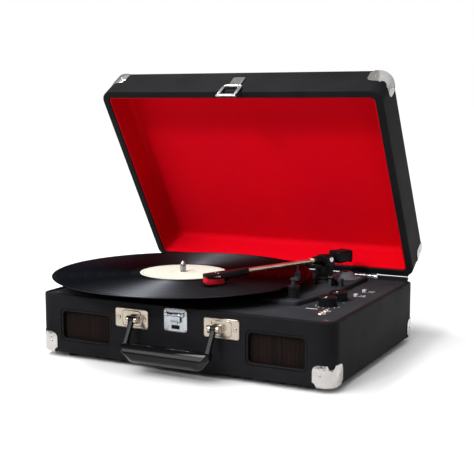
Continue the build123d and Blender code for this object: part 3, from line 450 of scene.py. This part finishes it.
    def steps(self, factor, stops):
        """A stepped ramp: from each place on, the given value holds."""
        ramp = self.node("ShaderNodeValToRGB")
        ramp.color_ramp.interpolation = "CONSTANT"
        elements = ramp.color_ramp.elements
        for index, (spot, value) in enumerate(stops):
            stop = elements[index] if index < 2 else elements.new(spot)
            stop.position = spot
            stop.color = (value, value, value, 1)
        self.link(factor, ramp.inputs["Fac"])
        return ramp.outputs["Color"]


def leathercloth(name, colour, other):
    """Embossed leathercloth: pebbled grain under a fine tooth."""
    made = Finish(name, colour, roughness=0.55)
    made.mottle(other, scale=18.0)
    made.gloss(0.44, 0.60, scale=30.0)
    made.pebbles(0.0010, 0.00010)
    made.bump(made.noise(2600.0, 3.0), 0.00003)
    return made.set(Specular_IOR_Level=0.025)


def moulding(name, colour, roughness, texture=0.00003, scale=1800.0, specular=0.4):
    """Moulded or painted plastic, rubber or card with a fine tooth."""
    made = Finish(name, colour, roughness)
    made.mottle([c * 1.3 + 0.0006 for c in colour], scale=14.0)
    made.gloss(roughness - 0.06, roughness + 0.08, scale=45.0)
    made.bump(made.noise(scale, 3.0), texture)
    return made.set(Specular_IOR_Level=specular)


def plated(name, colour, roughness=0.14, dents=0.00008):
    """Plated or bare metal, pressed a little uneven."""
    made = Finish(name, colour, roughness, metallic=1.0)
    made.mottle([c * 0.84 for c in colour], scale=70.0)
    made.gloss(roughness * 0.6, roughness * 1.7, scale=120.0)
    made.bump(made.noise(220.0, 2.0), dents)
    return made


def lining(name, colour, other):
    """Close red cloth, drawn smooth over the inside of the lid."""
    made = Finish(name, colour, roughness=0.8)
    made.mottle(other, scale=9.0)
    made.bump(made.noise(1500.0, 2.0), 0.00006)
    return made.set(Specular_IOR_Level=0.04)


# Pitches are in metres; places on the record and its label are shares of their radius, and each
# label ring is a place with how much ink it has.
WARP_PITCH = 0.0014
WEFT_PITCH = 0.0009
GROOVE_PITCH = 0.0022
TRACKS_FROM = 0.40
TRACKS_TO = 0.968
TRACK_GAPS = (0.53, 0.64, 0.745, 0.855)
GAP_WIDTH = 0.008
LABEL_RINGS = [(0.0, 0.0), (0.27, 0.5), (0.285, 0.0), (0.60, 0.35), (0.607, 0.0), (0.93, 0.9), (0.945, 0.0)]


def grille_cloth(name, colour, other):
    """Upright dark threads with a few brighter ones, crossed by a finer weft."""
    made = Finish(name, colour, roughness=0.8)
    warp = made.threads(WARP_PITCH, "X")
    made.mix_colour(made.noise(1.0, 1.0, (900, 30, 12)), other, 0.5, 0.72)
    made.mix_colour(warp, [c * 0.25 for c in colour], -0.2, -1.0)
    made.bump(made.math("ADD", warp, made.threads(WEFT_PITCH, "Z")), 0.00012)
    return made.set(Specular_IOR_Level=0.08)


def vinyl(name):
    """Grooved vinyl: the rings draw highlights out along the radius, with smooth gaps between the tracks."""
    low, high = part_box("record_disc")
    centre = [(a + b) / 2 for a, b in zip(low, high)]
    half = (high[0] - low[0]) / 2
    made = Finish(name, (0.05, 0.052, 0.058), roughness=0.5, metallic=1.0)
    radius = made.radius_from(centre)
    grooves = made.math("SINE", made.math("MULTIPLY", radius, 2 * math.pi / GROOVE_PITCH))
    share = made.math("DIVIDE", radius, half)
    stops = [(0.0, 0.08), (TRACKS_FROM, 1.0)]
    for gap in TRACK_GAPS:
        stops += [(gap, 0.1), (gap + GAP_WIDTH, 1.0)]
    tracks = made.steps(share, stops + [(TRACKS_TO, 0.06)])
    made.bump(made.math("MULTIPLY", grooves, tracks), 0.00003)
    broad = made.noise(1.0, 2.0, (3, 3, 3))
    dullness = made.math("ADD", made.math("MULTIPLY", tracks, 0.75), made.math("MULTIPLY", broad, 0.3))
    made.gloss_by(dullness, 0.30, 0.52)
    tangent = made.node("ShaderNodeTangent", direction_type="RADIAL", axis="Z")
    made.link(tangent.outputs["Tangent"], made.shader.inputs["Tangent"])
    return made.set(Specular_Tint=(0.34, 0.36, 0.40, 1.0), Anisotropic=0.95, Anisotropic_Rotation=0.25)


def label(name, colour, ink):
    """Pressed paper with a few plain printed rings."""
    low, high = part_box("record_label")
    centre = [(a + b) / 2 for a, b in zip(low, high)]
    made = Finish(name, colour, roughness=0.6)
    made.mottle([c * 0.94 for c in colour], scale=30.0)
    share = made.math("DIVIDE", made.radius_from(centre), (high[0] - low[0]) / 2)
    made.mix_colour(made.steps(share, LABEL_RINGS), ink, 0.0, 1.0)
    made.bump(made.noise(1200.0, 3.0), 0.00003)
    return made.set(Specular_IOR_Level=0.3)


def finishes():
    """One finish for each material slot of the record, and a few for printing and small rings."""
    return {
        "leatherette_black": leathercloth("leatherette_black", (0.0068, 0.0066, 0.0074),
                                          (0.0105, 0.0102, 0.0114)),
        "panel_black": moulding("panel_black", (0.02, 0.02, 0.02), 0.7),
        "rubber_black": moulding("rubber_black", (0.010, 0.010, 0.011), 0.75),
        "chrome": plated("chrome", (0.52, 0.505, 0.485), 0.14, 0.0004),
        "nickel": plated("nickel", (0.48, 0.42, 0.35), 0.2),
        "zinc_satin": plated("zinc_satin", (0.42, 0.445, 0.47), 0.22),
        "steel": plated("steel", (0.6, 0.6, 0.62), 0.22),
        "deck_black": moulding("deck_black", (0.022, 0.023, 0.026), 0.6, 0.00004, 1400.0, 0.008),
        "plastic_black": moulding("plastic_black", (0.0040, 0.0040, 0.0046), 0.3, specular=0.08),
        "socket_metal": plated("socket_metal", (0.80, 0.78, 0.74), 0.15),
        "switch_white": moulding("switch_white", (0.26, 0.26, 0.27), 0.4),
        "handle_gloss": moulding("handle_gloss", (0.0030, 0.0030, 0.0034), 0.15, 0.00001, specular=0.16),
        "grille_cloth": grille_cloth("grille_cloth", (0.0065, 0.004, 0.0035), (0.022, 0.008, 0.006)),
        "lining_red": lining("lining_red", (0.56, 0.0, 0.005), (0.51, 0.0, 0.007)),
        "vinyl_black": vinyl("vinyl_black"),
        "label_cream": label("label_cream", (0.53, 0.555, 0.475), (0.16, 0.13, 0.09)),
        "aluminium": plated("aluminium", (0.95, 0.78, 0.64), 0.28),
        "stylus_red": moulding("stylus_red", (0.36, 0.004, 0.010), 0.35, specular=0.2),
        "adapter_grey": moulding("adapter_grey", (0.075, 0.078, 0.086), 0.45, specular=0.08),
        "brass_pulley": plated("brass_pulley", (0.75, 0.55, 0.25), 0.25),
        "motor_can": plated("motor_can", (0.55, 0.55, 0.55), 0.35),
        "circuit_green": moulding("circuit_green", (0.02, 0.12, 0.05), 0.5),
        "speaker_paper": moulding("speaker_paper", (0.03, 0.03, 0.03), 0.8),
        "white_print": moulding("white_print", (0.80, 0.80, 0.80), 0.5),
        "ring_white": moulding("ring_white", (0.75, 0.75, 0.72), 0.4),
        "ring_red": moulding("ring_red", (0.50, 0.01, 0.01), 0.4),
    }


# ---------------------------------------------------------------- pieces that follow the CAD outline
EDGES = {
    "base_corner_caps": 0.22, "lid_corner_caps": 0.22, "handle_brackets": 0.35, "bracket_screws": 0.2,
    "catch_plate": 0.3, "catch_tongue": 0.3, "latch_plate": 0.3, "hinge_base_leaves": 0.2,
    "hinge_lid_leaves": 0.2, "deck_plate": 0.4, "tonearm_plinth": 0.35, "tonearm_bush": 0.3,
    "tonearm_turret": 0.6, "arm_hub": 0.5, "headshell": 0.45, "finger_lift": 0.25,
    "stylus_cartridge": 0.35, "counterweight": 0.5, "cue_lever": 0.35, "cue_bar": 0.35,
    "arm_rest_post": 0.4, "arm_clip": 0.2, "grille_frames": 0.45, "platter": 0.4, "adapter_45": 0.35,
    "speed_switch": 0.25, "auto_stop_switch": 0.25, "audio_sockets": 0.2, "rca_sockets": 0.25,
    "dc_socket": 0.25, "rubber_feet": 0.5, "spindle": 0.25,
}


def soften_nodes():
    """Each piece listed in EDGES gets the small edge roundings that moulded and pressed pieces have."""
    for node, width in EDGES.items():
        place(f"{node}_soft", softened(node, width), BODY_OF[node], SLOT_OF[node], node)


# ---------------------------------------------------------------- handle and front fittings
GRIP_HEIGHT = 20.0
GRIP_DEPTH = 17.0
GRIP_TAPER = 12.0
GRIP_SHOULDER = 0.65
# Each (inset, depth) of the grip from its front face to its back.
GRIP_PROFILE = [(9.7, 0.0), (7.6, 0.15), (6.2, 0.6), (5.0, 1.4), (3.8, 2.6), (2.6, 4.0), (1.5, 5.4), (0.6, 7.0),
                (0.1, 8.8), (0.0, GRIP_DEPTH - 3.0), (0.5, GRIP_DEPTH - 1.4), (1.6, GRIP_DEPTH - 0.4),
                (3.0, GRIP_DEPTH)]
LEG_WIDTH = 6.0
LEG_THICK = 4.4
LEG_INSET = 4.0
LEG_TOP = (-1.6, -1.2)
LEG_FOOT = (GRIP_DEPTH * 0.62, GRIP_HEIGHT - 2.5)
LEG_EYE = [(1.85, -3), (3.4, -3), (3.8, -2.6), (3.8, 2.6), (3.4, 3), (1.85, 3)]
LEG_SWELL = ((0.0, 1.0), (0.5, 0.94), (0.86, 1.0), (1.0, 1.25))


def grip_outline(half, height):
    """The grip seen from the front: flat top, lower corners cut away and rounded."""
    shoulder = height * GRIP_SHOULDER
    corners = [((half, height), 2.0), ((-half, height), 2.0), ((-half, shoulder), 6.0),
               ((-half + GRIP_TAPER, 0), 7.0), ((half - GRIP_TAPER, 0), 7.0), ((half, shoulder), 6.0)]
    points = []
    for index, (corner, radius) in enumerate(corners):
        corner = Vector(corner)
        before = (Vector(corners[index - 1][0]) - corner).normalized()
        after = (Vector(corners[(index + 1) % len(corners)][0]) - corner).normalized()
        reach = min(radius / math.tan(before.angle(after) / 2), 6.0)
        for step in range(7):
            share = step / 6
            start, end = corner + before * reach, corner + after * reach
            points.append(start.lerp(corner, share).lerp(corner.lerp(end, share), share))
    return points


def handle():
    """A moulded grip with a chamfered front, on two straps with eyes."""
    low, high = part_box("handle_grip")
    centre_x, half = (low[0] + high[0]) / 2, (high[0] - low[0]) / 2 / MM
    outline = grip_outline(half, GRIP_HEIGHT)
    waist = GRIP_HEIGHT / 2
    rings = []
    for inset, depth in GRIP_PROFILE:
        shrink_x, shrink_z = 1 - inset / half, 1 - inset / waist
        rings.append([(centre_x + x * shrink_x * MM, low[1] + depth * MM,
                       low[2] + (waist + (z - waist) * shrink_z) * MM) for x, z in outline])
    work = lofted(rings)
    hinge = Vector(JOINTS["handle_hinge"]["pos_m"])
    section = rounded_outline(LEG_WIDTH, LEG_THICK, 1.2, 3)
    sideways = Vector((1, 0, 0))
    for side in (-1, 1):
        x = centre_x + side * (half - LEG_INSET) * MM
        joined(work, turned(LEG_EYE, (x, hinge.y, hinge.z), sideways, 28))
        start = Vector((x, hinge.y + LEG_TOP[0] * MM, hinge.z + LEG_TOP[1] * MM))
        end = Vector((x, low[1] + LEG_FOOT[0] * MM, low[2] + LEG_FOOT[1] * MM))
        across = (end - start).cross(sideways).normalized()
        straps = []
        for share, swell in LEG_SWELL:
            point = start.lerp(end, share)
            straps.append([point + (sideways * u * swell + across * v * swell) * MM for u, v in section])
        joined(work, lofted(straps))
    place("handle_moulding", work, "handle", "handle_gloss", "handle_grip")


BRACKET_W = 41.0
BRACKET_H = 21.0
BRACKET_RIM = 0.55
BRACKET_RIM_OUT = 1.25
BRACKET_CORNER = 1.8
SWAGE = 0.7
SWAGE_OUT = 1.45
SWAGE_CORNER = 4.0
SWAGE_INSET = (17.5, 4.5)


def bracket_trim():
    """The rolled rim of each handle plate and a pressed swage round its ears."""
    low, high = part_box("handle_brackets")
    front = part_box("base_shell")[0][1]
    centre_z = (low[2] + high[2]) / 2
    for side in (-1, 1):
        centre_x = (low[0] + high[0]) / 2 + side * ((high[0] - low[0]) / 2 - BRACKET_W / 2 * MM)
        work = rim((centre_x, front - BRACKET_RIM_OUT * MM, centre_z),
                   BRACKET_W - 2 * BRACKET_RIM, BRACKET_H - 2 * BRACKET_RIM, BRACKET_CORNER, BRACKET_RIM)
        joined(work, rim((centre_x, front - SWAGE_OUT * MM, centre_z),
                         BRACKET_W - SWAGE_INSET[0], BRACKET_H - SWAGE_INSET[1], SWAGE_CORNER, SWAGE))
        name = "bracket_trim_left" if side < 0 else "bracket_trim_right"
        place(name, work, "case", "nickel")


CATCH_RIM = 0.5
CATCH_RIM_OUT = 1.15
CATCH_CORNER = 3.6
RIVET = (1.2, 0.7)
RIVET_INSET = (2.9, 3.0)


def catch_trim():
    """The rolled rim of the catch plate and its four rivets."""
    low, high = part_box("catch_plate")
    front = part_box("base_shell")[0][1]
    centre = Vector(((low[0] + high[0]) / 2, front - CATCH_RIM_OUT * MM, (low[2] + high[2]) / 2))
    width, height = (high[0] - low[0]) / MM, (high[2] - low[2]) / MM
    work = rim(centre, width - 2 * CATCH_RIM, height - 2 * CATCH_RIM, CATCH_CORNER, CATCH_RIM)
    for side in (-1, 1):
        for rise in (-1, 1):
            x, z = side * (width / 2 - RIVET_INSET[0]), rise * (height / 2 - RIVET_INSET[1])
            joined(work, dome_screw(*RIVET, centre + Vector((x, -0.1, z)) * MM, (0, -1, 0)))
    place("catch_trim", work, "case", "zinc_satin")


HINGE_LEAF = 38.0
LEAF_THICK = 1.2
LEAF_SCREW = (1.7, 0.5)
LEAF_SCREWS = (-13, 0, 13)
# How far the screws stand from the lower edge of the base's leaf, and from the pin on the lid's.
BASE_SCREW_RISE = 6.0
LID_SCREW_RISE = 11.0


def hinge_screws():
    """Three domed screws in each hinge leaf; the lid's leaves are turned open with the lid."""
    joint = Vector(JOINTS["lid_hinge"]["pos_m"])
    turn = Matrix.Rotation(LID_ANGLE, 3, "X")
    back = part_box("base_shell")[1][1] + LEAF_THICK * MM
    for node, body in (("hinge_base_leaves", "case"), ("hinge_lid_leaves", "lid")):
        low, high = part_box(node)
        work = bmesh.new()
        for side in (-1, 1):
            centre_x = (low[0] + high[0]) / 2 + side * ((high[0] - low[0]) / 2 - HINGE_LEAF / 2 * MM)
            for shift in LEAF_SCREWS:
                x = centre_x + shift * MM
                if body == "case":
                    spot, outward = Vector((x, back, low[2] + BASE_SCREW_RISE * MM)), Vector((0, 1, 0))
                else:
                    from_pin = turn @ Vector((0, back - joint.y, LID_SCREW_RISE * MM))
                    spot, outward = Vector((x, joint.y, joint.z)) + from_pin, turn @ Vector((0, 1, 0))
                joined(work, dome_screw(*LEAF_SCREW, spot, outward))
        place(f"{node}_screws", work, body, "steel")


LATCH_WIRE = 1.1
STRAP_WIDTH = 3.9
STRAP_START = 2.8
STRAP_BEVEL = 0.6
STRAP_SKIN = 0.15
STRAP_TUCK = 0.3
FOOT_EXTRA = 0.4


def latch_straps():
    """The pressed sides and foot of the latch frame, round the wire it hangs by."""
    low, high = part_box("latch_loop")
    pivot = Vector(JOINTS["latch_loop_hinge"]["pos_m"])
    turn = Matrix.Rotation(LID_ANGLE, 3, "X")
    drop = (pivot.y - low[1]) / MM / abs(math.sin(LID_ANGLE)) - LATCH_WIRE
    half = (high[0] - low[0]) / 2 / MM - LATCH_WIRE
    reach = half - STRAP_TUCK
    thick = 2 * (LATCH_WIRE + STRAP_SKIN)
    length = drop + STRAP_WIDTH / 2 - STRAP_START
    foot = pivot + turn @ Vector((0, 0, -drop * MM))
    work = rounded_box((2 * reach + STRAP_WIDTH, thick, STRAP_WIDTH + FOOT_EXTRA), foot, STRAP_BEVEL, turn)
    for side in (-1, 1):
        spot = Vector((side * reach, 0, -(STRAP_START + length / 2))) * MM
        joined(work, rounded_box((STRAP_WIDTH, thick, length), pivot + turn @ spot, STRAP_BEVEL, turn))
    place("latch_straps", work, "latch_loop", "zinc_satin")


GUARD_THICK = 0.9
GUARD_HEIGHT = 7.0
GUARD_END = 8.0
GUARD_OFF = 0.05
GUARD_BEVEL = 0.2
# How far the guard of the base stands below the pin, and the lid's guard from the bead.
BASE_GUARD_GAP = 0.8
LID_GUARD_GAP = 0.3
BARREL_R = 2.0


def hinge_guards():
    """Covered strips and a round bead that close the rear seam on both sides of the metal hinges."""
    low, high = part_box("base_shell")
    leaf_low, leaf_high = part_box("hinge_base_leaves")
    joint = Vector(JOINTS["lid_hinge"]["pos_m"])
    turn = Matrix.Rotation(LID_ANGLE, 3, "X")
    leaf = HINGE_LEAF * MM
    spans = ((low[0] + GUARD_END * MM, leaf_low[0] - MM), (leaf_low[0] + leaf + MM, leaf_high[0] - leaf - MM),
             (leaf_high[0] + MM, high[0] - GUARD_END * MM))
    back = high[1] + (GUARD_THICK / 2 + GUARD_OFF) * MM
    below = joint.z - (GUARD_HEIGHT / 2 + BASE_GUARD_GAP) * MM
    fixed, hung = bmesh.new(), bmesh.new()
    for start, end in spans:
        joined(fixed, tube([(start, joint.y, joint.z), (end, joint.y, joint.z)], BARREL_R, segments=20))
        size = ((end - start) / MM, GUARD_THICK, GUARD_HEIGHT)
        joined(fixed, rounded_box(size, ((start + end) / 2, back, below), GUARD_BEVEL))
        rise = (GUARD_HEIGHT / 2 + BARREL_R + LID_GUARD_GAP) * MM
        spot = Vector((0, joint.y, joint.z)) + turn @ Vector(((start + end) / 2, back - joint.y, rise))
        joined(hung, rounded_box(size, spot, GUARD_BEVEL, turn))
    place("rear_guard_base", fixed, "case", "leatherette_black")
    place("rear_guard_lid", hung, "lid", "leatherette_black")


GRILLE_W = 68.7
GRILLE_BEAD = 0.6
BEAD_DEPTH = 0.25
BEAD_INSET = 1.5
BEAD_CORNER = 4.6


def grille_trim():
    """A raised bead round each speaker opening."""
    low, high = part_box("grille_frames")
    centre_z = (low[2] + high[2]) / 2
    height = (high[2] - low[2]) / MM
    for side in (-1, 1):
        centre_x = (low[0] + high[0]) / 2 + side * ((high[0] - low[0]) / 2 - GRILLE_W / 2 * MM)
        bead = rim((centre_x, low[1] + BEAD_DEPTH * MM, centre_z),
                   GRILLE_W - 2 * BEAD_INSET, height - 2 * BEAD_INSET, BEAD_CORNER, GRILLE_BEAD)
        name = "grille_bead_left" if side < 0 else "grille_bead_right"
        place(name, bead, "case", "plastic_black")


# ---------------------------------------------------------------- controls
KNOB_HEIGHT = 10.0
KNOB_RIBS = 30
RIB_DEPTH = 0.55
# Each (shift from the knob's radius, height, share of the ribs) from its foot to the dish of its cap.
KNOB_LEVELS = [(-0.5, 0.0, 0.0), (0.0, 0.5, 0.0), (0.0, 1.0, 1.0), (0.0, 8.2, 1.0), (-0.1, 8.9, 0.0),
               (-0.5, 9.6, 0.0), (-1.2, 10.0, 0.0), (-2.2, 10.0, 0.0), (-2.8, 9.6, 0.0), (-5.5, 9.4, 0.0)]
# The pointer's length and place are shares of the knob's radius.
POINTER_WIDTH = 0.9
POINTER_THICK = 0.5
POINTER_LEVEL = 9.75
POINTER_LENGTH = 0.62
POINTER_PLACE = 0.52
# Each knob with the first and last mark of its scale, in degrees, and how many marks there are.
SCALES = (("volume_knob", -140, 140, 11), ("function_knob", -45, 45, 3))
SCALE_RADIUS = 12.8
SCALE_MARK = (1.9, 0.55)
SWITCH_MARK = (2.2, 0.5)
MARK_GAP = 2.6
SPEED_GAP = 6.2
WORD_GAP = 6.8
DASH = (13.0, 1.0)
DASH_SHIFT = (-9.5, -21.0, 0)
PRINT_THICK = 0.06
SWITCH_TRAVEL = 6.0
DECK_SINK = 1.0


def knob(node):
    """A ribbed knob with a dished cap and an inlaid pointer."""
    low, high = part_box(node)
    centre = Vector(((low[0] + high[0]) / 2, (low[1] + high[1]) / 2, high[2] - KNOB_HEIGHT * MM))
    radius = (high[0] - low[0]) / 2 / MM
    steps = KNOB_RIBS * 6
    rings = []
    for shift, level, ribbed in KNOB_LEVELS:
        ring = []
        for step in range(steps):
            angle = 2 * math.pi * step / steps
            cut = ribbed * RIB_DEPTH * (0.5 + 0.5 * math.cos(KNOB_RIBS * angle)) ** 2
            reach = radius + shift - cut
            ring.append(centre + Vector((reach * math.cos(angle), reach * math.sin(angle), level)) * MM)
        rings.append(ring)
    work = lofted(rings)
    place(f"{node}_ribbed", work, BODY_OF[node], "plastic_black", node)
    spot = centre + Vector((0, -radius * POINTER_PLACE, POINTER_LEVEL)) * MM
    pointer = rounded_box((POINTER_WIDTH, radius * POINTER_LENGTH, POINTER_THICK), spot, 0.12)
    place(f"{node}_pointer", pointer, BODY_OF[node], "white_print")


def lettering(text, size, place_at):
    """Printed figures, flat on the deck."""
    curve = bpy.data.curves.new(f"print_{text}", "FONT")
    curve.body = text
    curve.size = size * MM
    curve.align_x = "CENTER"
    curve.align_y = "CENTER"
    curve.extrude = 0.02 * MM
    words = bpy.data.objects.new(f"words_{text}", curve)
    bpy.context.scene.collection.objects.link(words)
    bpy.context.view_layer.update()
    mesh = bpy.data.meshes.new_from_object(words.evaluated_get(bpy.context.evaluated_depsgraph_get()))
    bpy.data.objects.remove(words)
    mesh.transform(Matrix.Translation(place_at))
    return mesh


def printed(name, work):
    """White print on the deck."""
    place(name, work, "case", "white_print")


def stroke(size, spot, turn=None):
    """One printed stroke."""
    return rounded_box((*size, PRINT_THICK), spot, 0.02, turn)


def deck_print():
    """Plain scale marks round the knobs, and marks and words beside the two switches."""
    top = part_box("base_shell")[1][2] - DECK_SINK * MM + PRINT_THICK / 2 * MM
    marks = bmesh.new()
    for node, first, last, count in SCALES:
        centre = middle(node)
        for step in range(count):
            angle = math.radians(first + (last - first) * step / (count - 1) - 90)
            outward = Vector((math.cos(angle), math.sin(angle), 0))
            spot = Vector((centre.x, centre.y, top)) + outward * SCALE_RADIUS * MM
            joined(marks, stroke(SCALE_MARK, spot, Matrix.Rotation(angle, 3, "Z")))
    dash = middle("volume_knob") + Vector(DASH_SHIFT) * MM
    joined(marks, stroke(DASH, (dash.x, dash.y, top)))
    low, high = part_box("speed_switch")
    for step, speed in enumerate(("33", "45", "78")):
        y = (low[1] + high[1]) / 2 + SWITCH_TRAVEL / 2 * step * MM
        joined(marks, stroke(SWITCH_MARK, (high[0] + MARK_GAP * MM, y, top)))
        printed(f"print_speed_{step + 1}", lettering(speed, 2.6, (high[0] + SPEED_GAP * MM, y, top)))
    low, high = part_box("auto_stop_switch")
    for step, word in enumerate(("OFF", "ON")):
        y = (low[1] + high[1]) / 2 + SWITCH_TRAVEL * step * MM
        joined(marks, stroke(SWITCH_MARK, (high[0] + MARK_GAP * MM, y, top)))
        printed(f"print_stop_{step + 1}", lettering(word, 2.4, (high[0] + WORD_GAP * MM, y, top)))
    printed("deck_marks", marks)


JACK_COLLAR = [(2.0, -0.6), (4.6, -0.6), (4.9, 0.0), (4.6, 0.9), (3.8, 1.5), (2.9, 1.6), (2.2, 1.2), (2.0, 0.2),
               (2.0, -0.6)]
JACK_INSET = 5.2


def socket_rings():
    """Bright domed collars round the two jack sockets on the deck."""
    low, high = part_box("audio_sockets")
    centre_x = (low[0] + high[0]) / 2
    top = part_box("base_shell")[1][2] - DECK_SINK * MM
    for index, y in enumerate((low[1] + JACK_INSET * MM, high[1] - JACK_INSET * MM)):
        place(f"socket_collar_{index + 1}", turned(JACK_COLLAR, (centre_x, y, top)), "case", "socket_metal")


# ---------------------------------------------------------------- tonearm
PIVOT_SCREW_AT = 9.0
PIVOT_SCREW = [(0, 1.7), (1.2, 1.7), (1.2, 1.3), (2.7, 1.2), (3.1, 0.7), (3.1, -0.3)]
TUBE_COLLAR = [(2.5, -0.7), (3.3, -0.5), (3.3, 0.5), (2.5, 0.7), (2.5, -0.7)]
COLLARS_AT = (22.0, 24.2, 128.5)
WEIGHT_BAND = (18.5, 1.1, 14.5)
WEIGHT_BANDS_AT = (-9.4, -7.4, 7.4, 9.4)
GUSSET = [(6.0, -2.0), (6.0, -7.0), (11.0, -6.4), (22.0, -3.0), (22.0, -2.0)]
GUSSET_THICK = 1.8
HEAD_SCREW = (1.3, 0.8)
HEAD_SCREWS = (-3.2, 3.2)
HEAD_SCREW_BACK = 4
HEAD_SCREW_DROP = 3.1


def arm_axes():
    """The arm's pivot, the direction in which its tube points, and the line of its cross pin."""
    pivot = Vector(JOINTS["tonearm_swing"]["pos_m"])
    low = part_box("arm_tube")[0]
    end = Vector((low[0], low[1], pivot.z))
    forward = (end - pivot).normalized()
    return pivot, forward, Vector((-forward.y, forward.x, 0))


def arm_trim():
    """Pivot screws, tube collars, bands round the counterweight, and the gusset below the tube."""
    pivot, forward, across = arm_axes()
    for index, side in enumerate((-1, 1)):
        work = turned(PIVOT_SCREW, pivot + across * side * PIVOT_SCREW_AT * MM, across * side, 24)
        place(f"pivot_screw_{index + 1}", work, "turret", "steel")
    rings = bmesh.new()
    for reach in COLLARS_AT:
        joined(rings, turned(TUBE_COLLAR, pivot + forward * reach * MM, forward, 24))
    place("tube_collars", rings, "tonearm", "aluminium")
    weight = middle("counterweight")
    bands = bmesh.new()
    turn = Matrix((across, forward, Vector((0, 0, 1)))).transposed()
    for shift in WEIGHT_BANDS_AT:
        joined(bands, rounded_box(WEIGHT_BAND, weight + forward * shift * MM, 0.4, turn))
    place("weight_bands", bands, "tonearm", "plastic_black")
    sides = [[pivot + (forward * reach + across * side * GUSSET_THICK / 2 + Vector((0, 0, drop))) * MM
              for reach, drop in GUSSET] for side in (-1, 1)]
    place("arm_gusset", lofted(sides), "tonearm", "plastic_black")


def head_trim():
    """Two domed screws that hold the cartridge to the head."""
    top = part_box("headshell")[1][2]
    shell, head = middle("headshell"), middle("stylus_cartridge")
    along = Vector((head.x - shell.x, head.y - shell.y, 0)).normalized()
    side = Vector((-along.y, along.x, 0))
    screws = bmesh.new()
    between = Vector((head.x, head.y, top - HEAD_SCREW_DROP * MM)) - along * HEAD_SCREW_BACK * MM
    for shift in HEAD_SCREWS:
        joined(screws, dome_screw(*HEAD_SCREW, between + side * shift * MM, (0, 0, 1)))
    place("head_screws", screws, "tonearm", "steel")


REST_HOUSING = [(3.2, 1.0), (7.2, 1.0), (7.6, 1.4), (7.6, 4.4), (7.2, 4.9), (6.2, 5.2), (6.0, 5.8), (6.0, 15.2),
                (6.4, 15.8), (6.4, 18.6), (5.9, 19.2), (3.2, 19.4), (3.2, 1.0)]


def rest_housing():
    """The stepped housing round the foot of the arm rest."""
    low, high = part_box("arm_rest_post")
    foot = Vector(((low[0] + high[0]) / 2, (low[1] + high[1]) / 2, low[2]))
    place("rest_housing", turned(REST_HOUSING, foot), "case", "plastic_black")


# ---------------------------------------------------------------- back and underside
PHONO_RING = [(4.3, 1.2), (5.4, 1.2), (5.4, 2.4), (4.9, 2.9), (4.3, 2.9), (4.3, 1.2)]
PHONO_INSET = 6.2
INLET_PIN = [(0, 0.4), (0.8, 0.2), (0.95, -0.4), (0.95, -11.0)]
PANEL_SCREW = (2.2, 0.9)
# Where the bottom panel's screws stand, as shares of its half width and half depth.
SCREW_COLUMNS = (-0.92, -0.3, 0.3, 0.92)
SCREW_ROWS = (-0.94, 0.94)


def rear_trim():
    """Colour rings on the two phono sockets and the centre pin of the power inlet."""
    low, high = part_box("rca_sockets")
    centre_z = (low[2] + high[2]) / 2
    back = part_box("base_shell")[1][1]
    inset = PHONO_INSET * MM
    for index, (x, slot) in enumerate(((low[0] + inset, "ring_white"), (high[0] - inset, "ring_red"))):
        ring = turned(PHONO_RING, (x, back, centre_z), (0, 1, 0), 32)
        place(f"phono_ring_{index + 1}", ring, "case", slot)
    inlet = middle("dc_socket")
    pin = turned(INLET_PIN, (inlet.x, back, centre_z), (0, 1, 0), 16)
    place("inlet_pin", pin, "case", "steel")


def bottom_screws():
    """Two rows of screws along the long edges of the bottom panel."""
    low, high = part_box("bottom_panel")
    centre = middle("bottom_panel")
    half_x, half_y = (high[0] - low[0]) / 2, (high[1] - low[1]) / 2
    work = bmesh.new()
    for x in SCREW_COLUMNS:
        for y in SCREW_ROWS:
            spot = (centre.x + x * half_x, centre.y + y * half_y, low[2] + 0.1 * MM)
            joined(work, dome_screw(*PANEL_SCREW, spot, (0, 0, -1)))
    place("bottom_screws", work, "case", "steel")


# ---------------------------------------------------------------- assembly
def dress_nodes():
    """Give every CAD node the finish of its slot, and shade its round faces smoothly."""
    for node, slot in SLOT_OF.items():
        data = NODES[node].data
        data.materials.clear()
        data.materials.append(PAINTS[slot].material)
        shade(data)


PAINTS = finishes()
add_camera()
add_studio()
dress_nodes()
soften_nodes()
handle()
bracket_trim()
catch_trim()
hinge_screws()
latch_straps()
hinge_guards()
grille_trim()
knob("volume_knob")
knob("function_knob")
deck_print()
socket_rings()
arm_trim()
head_trim()
rest_housing()
rear_trim()
bottom_screws()
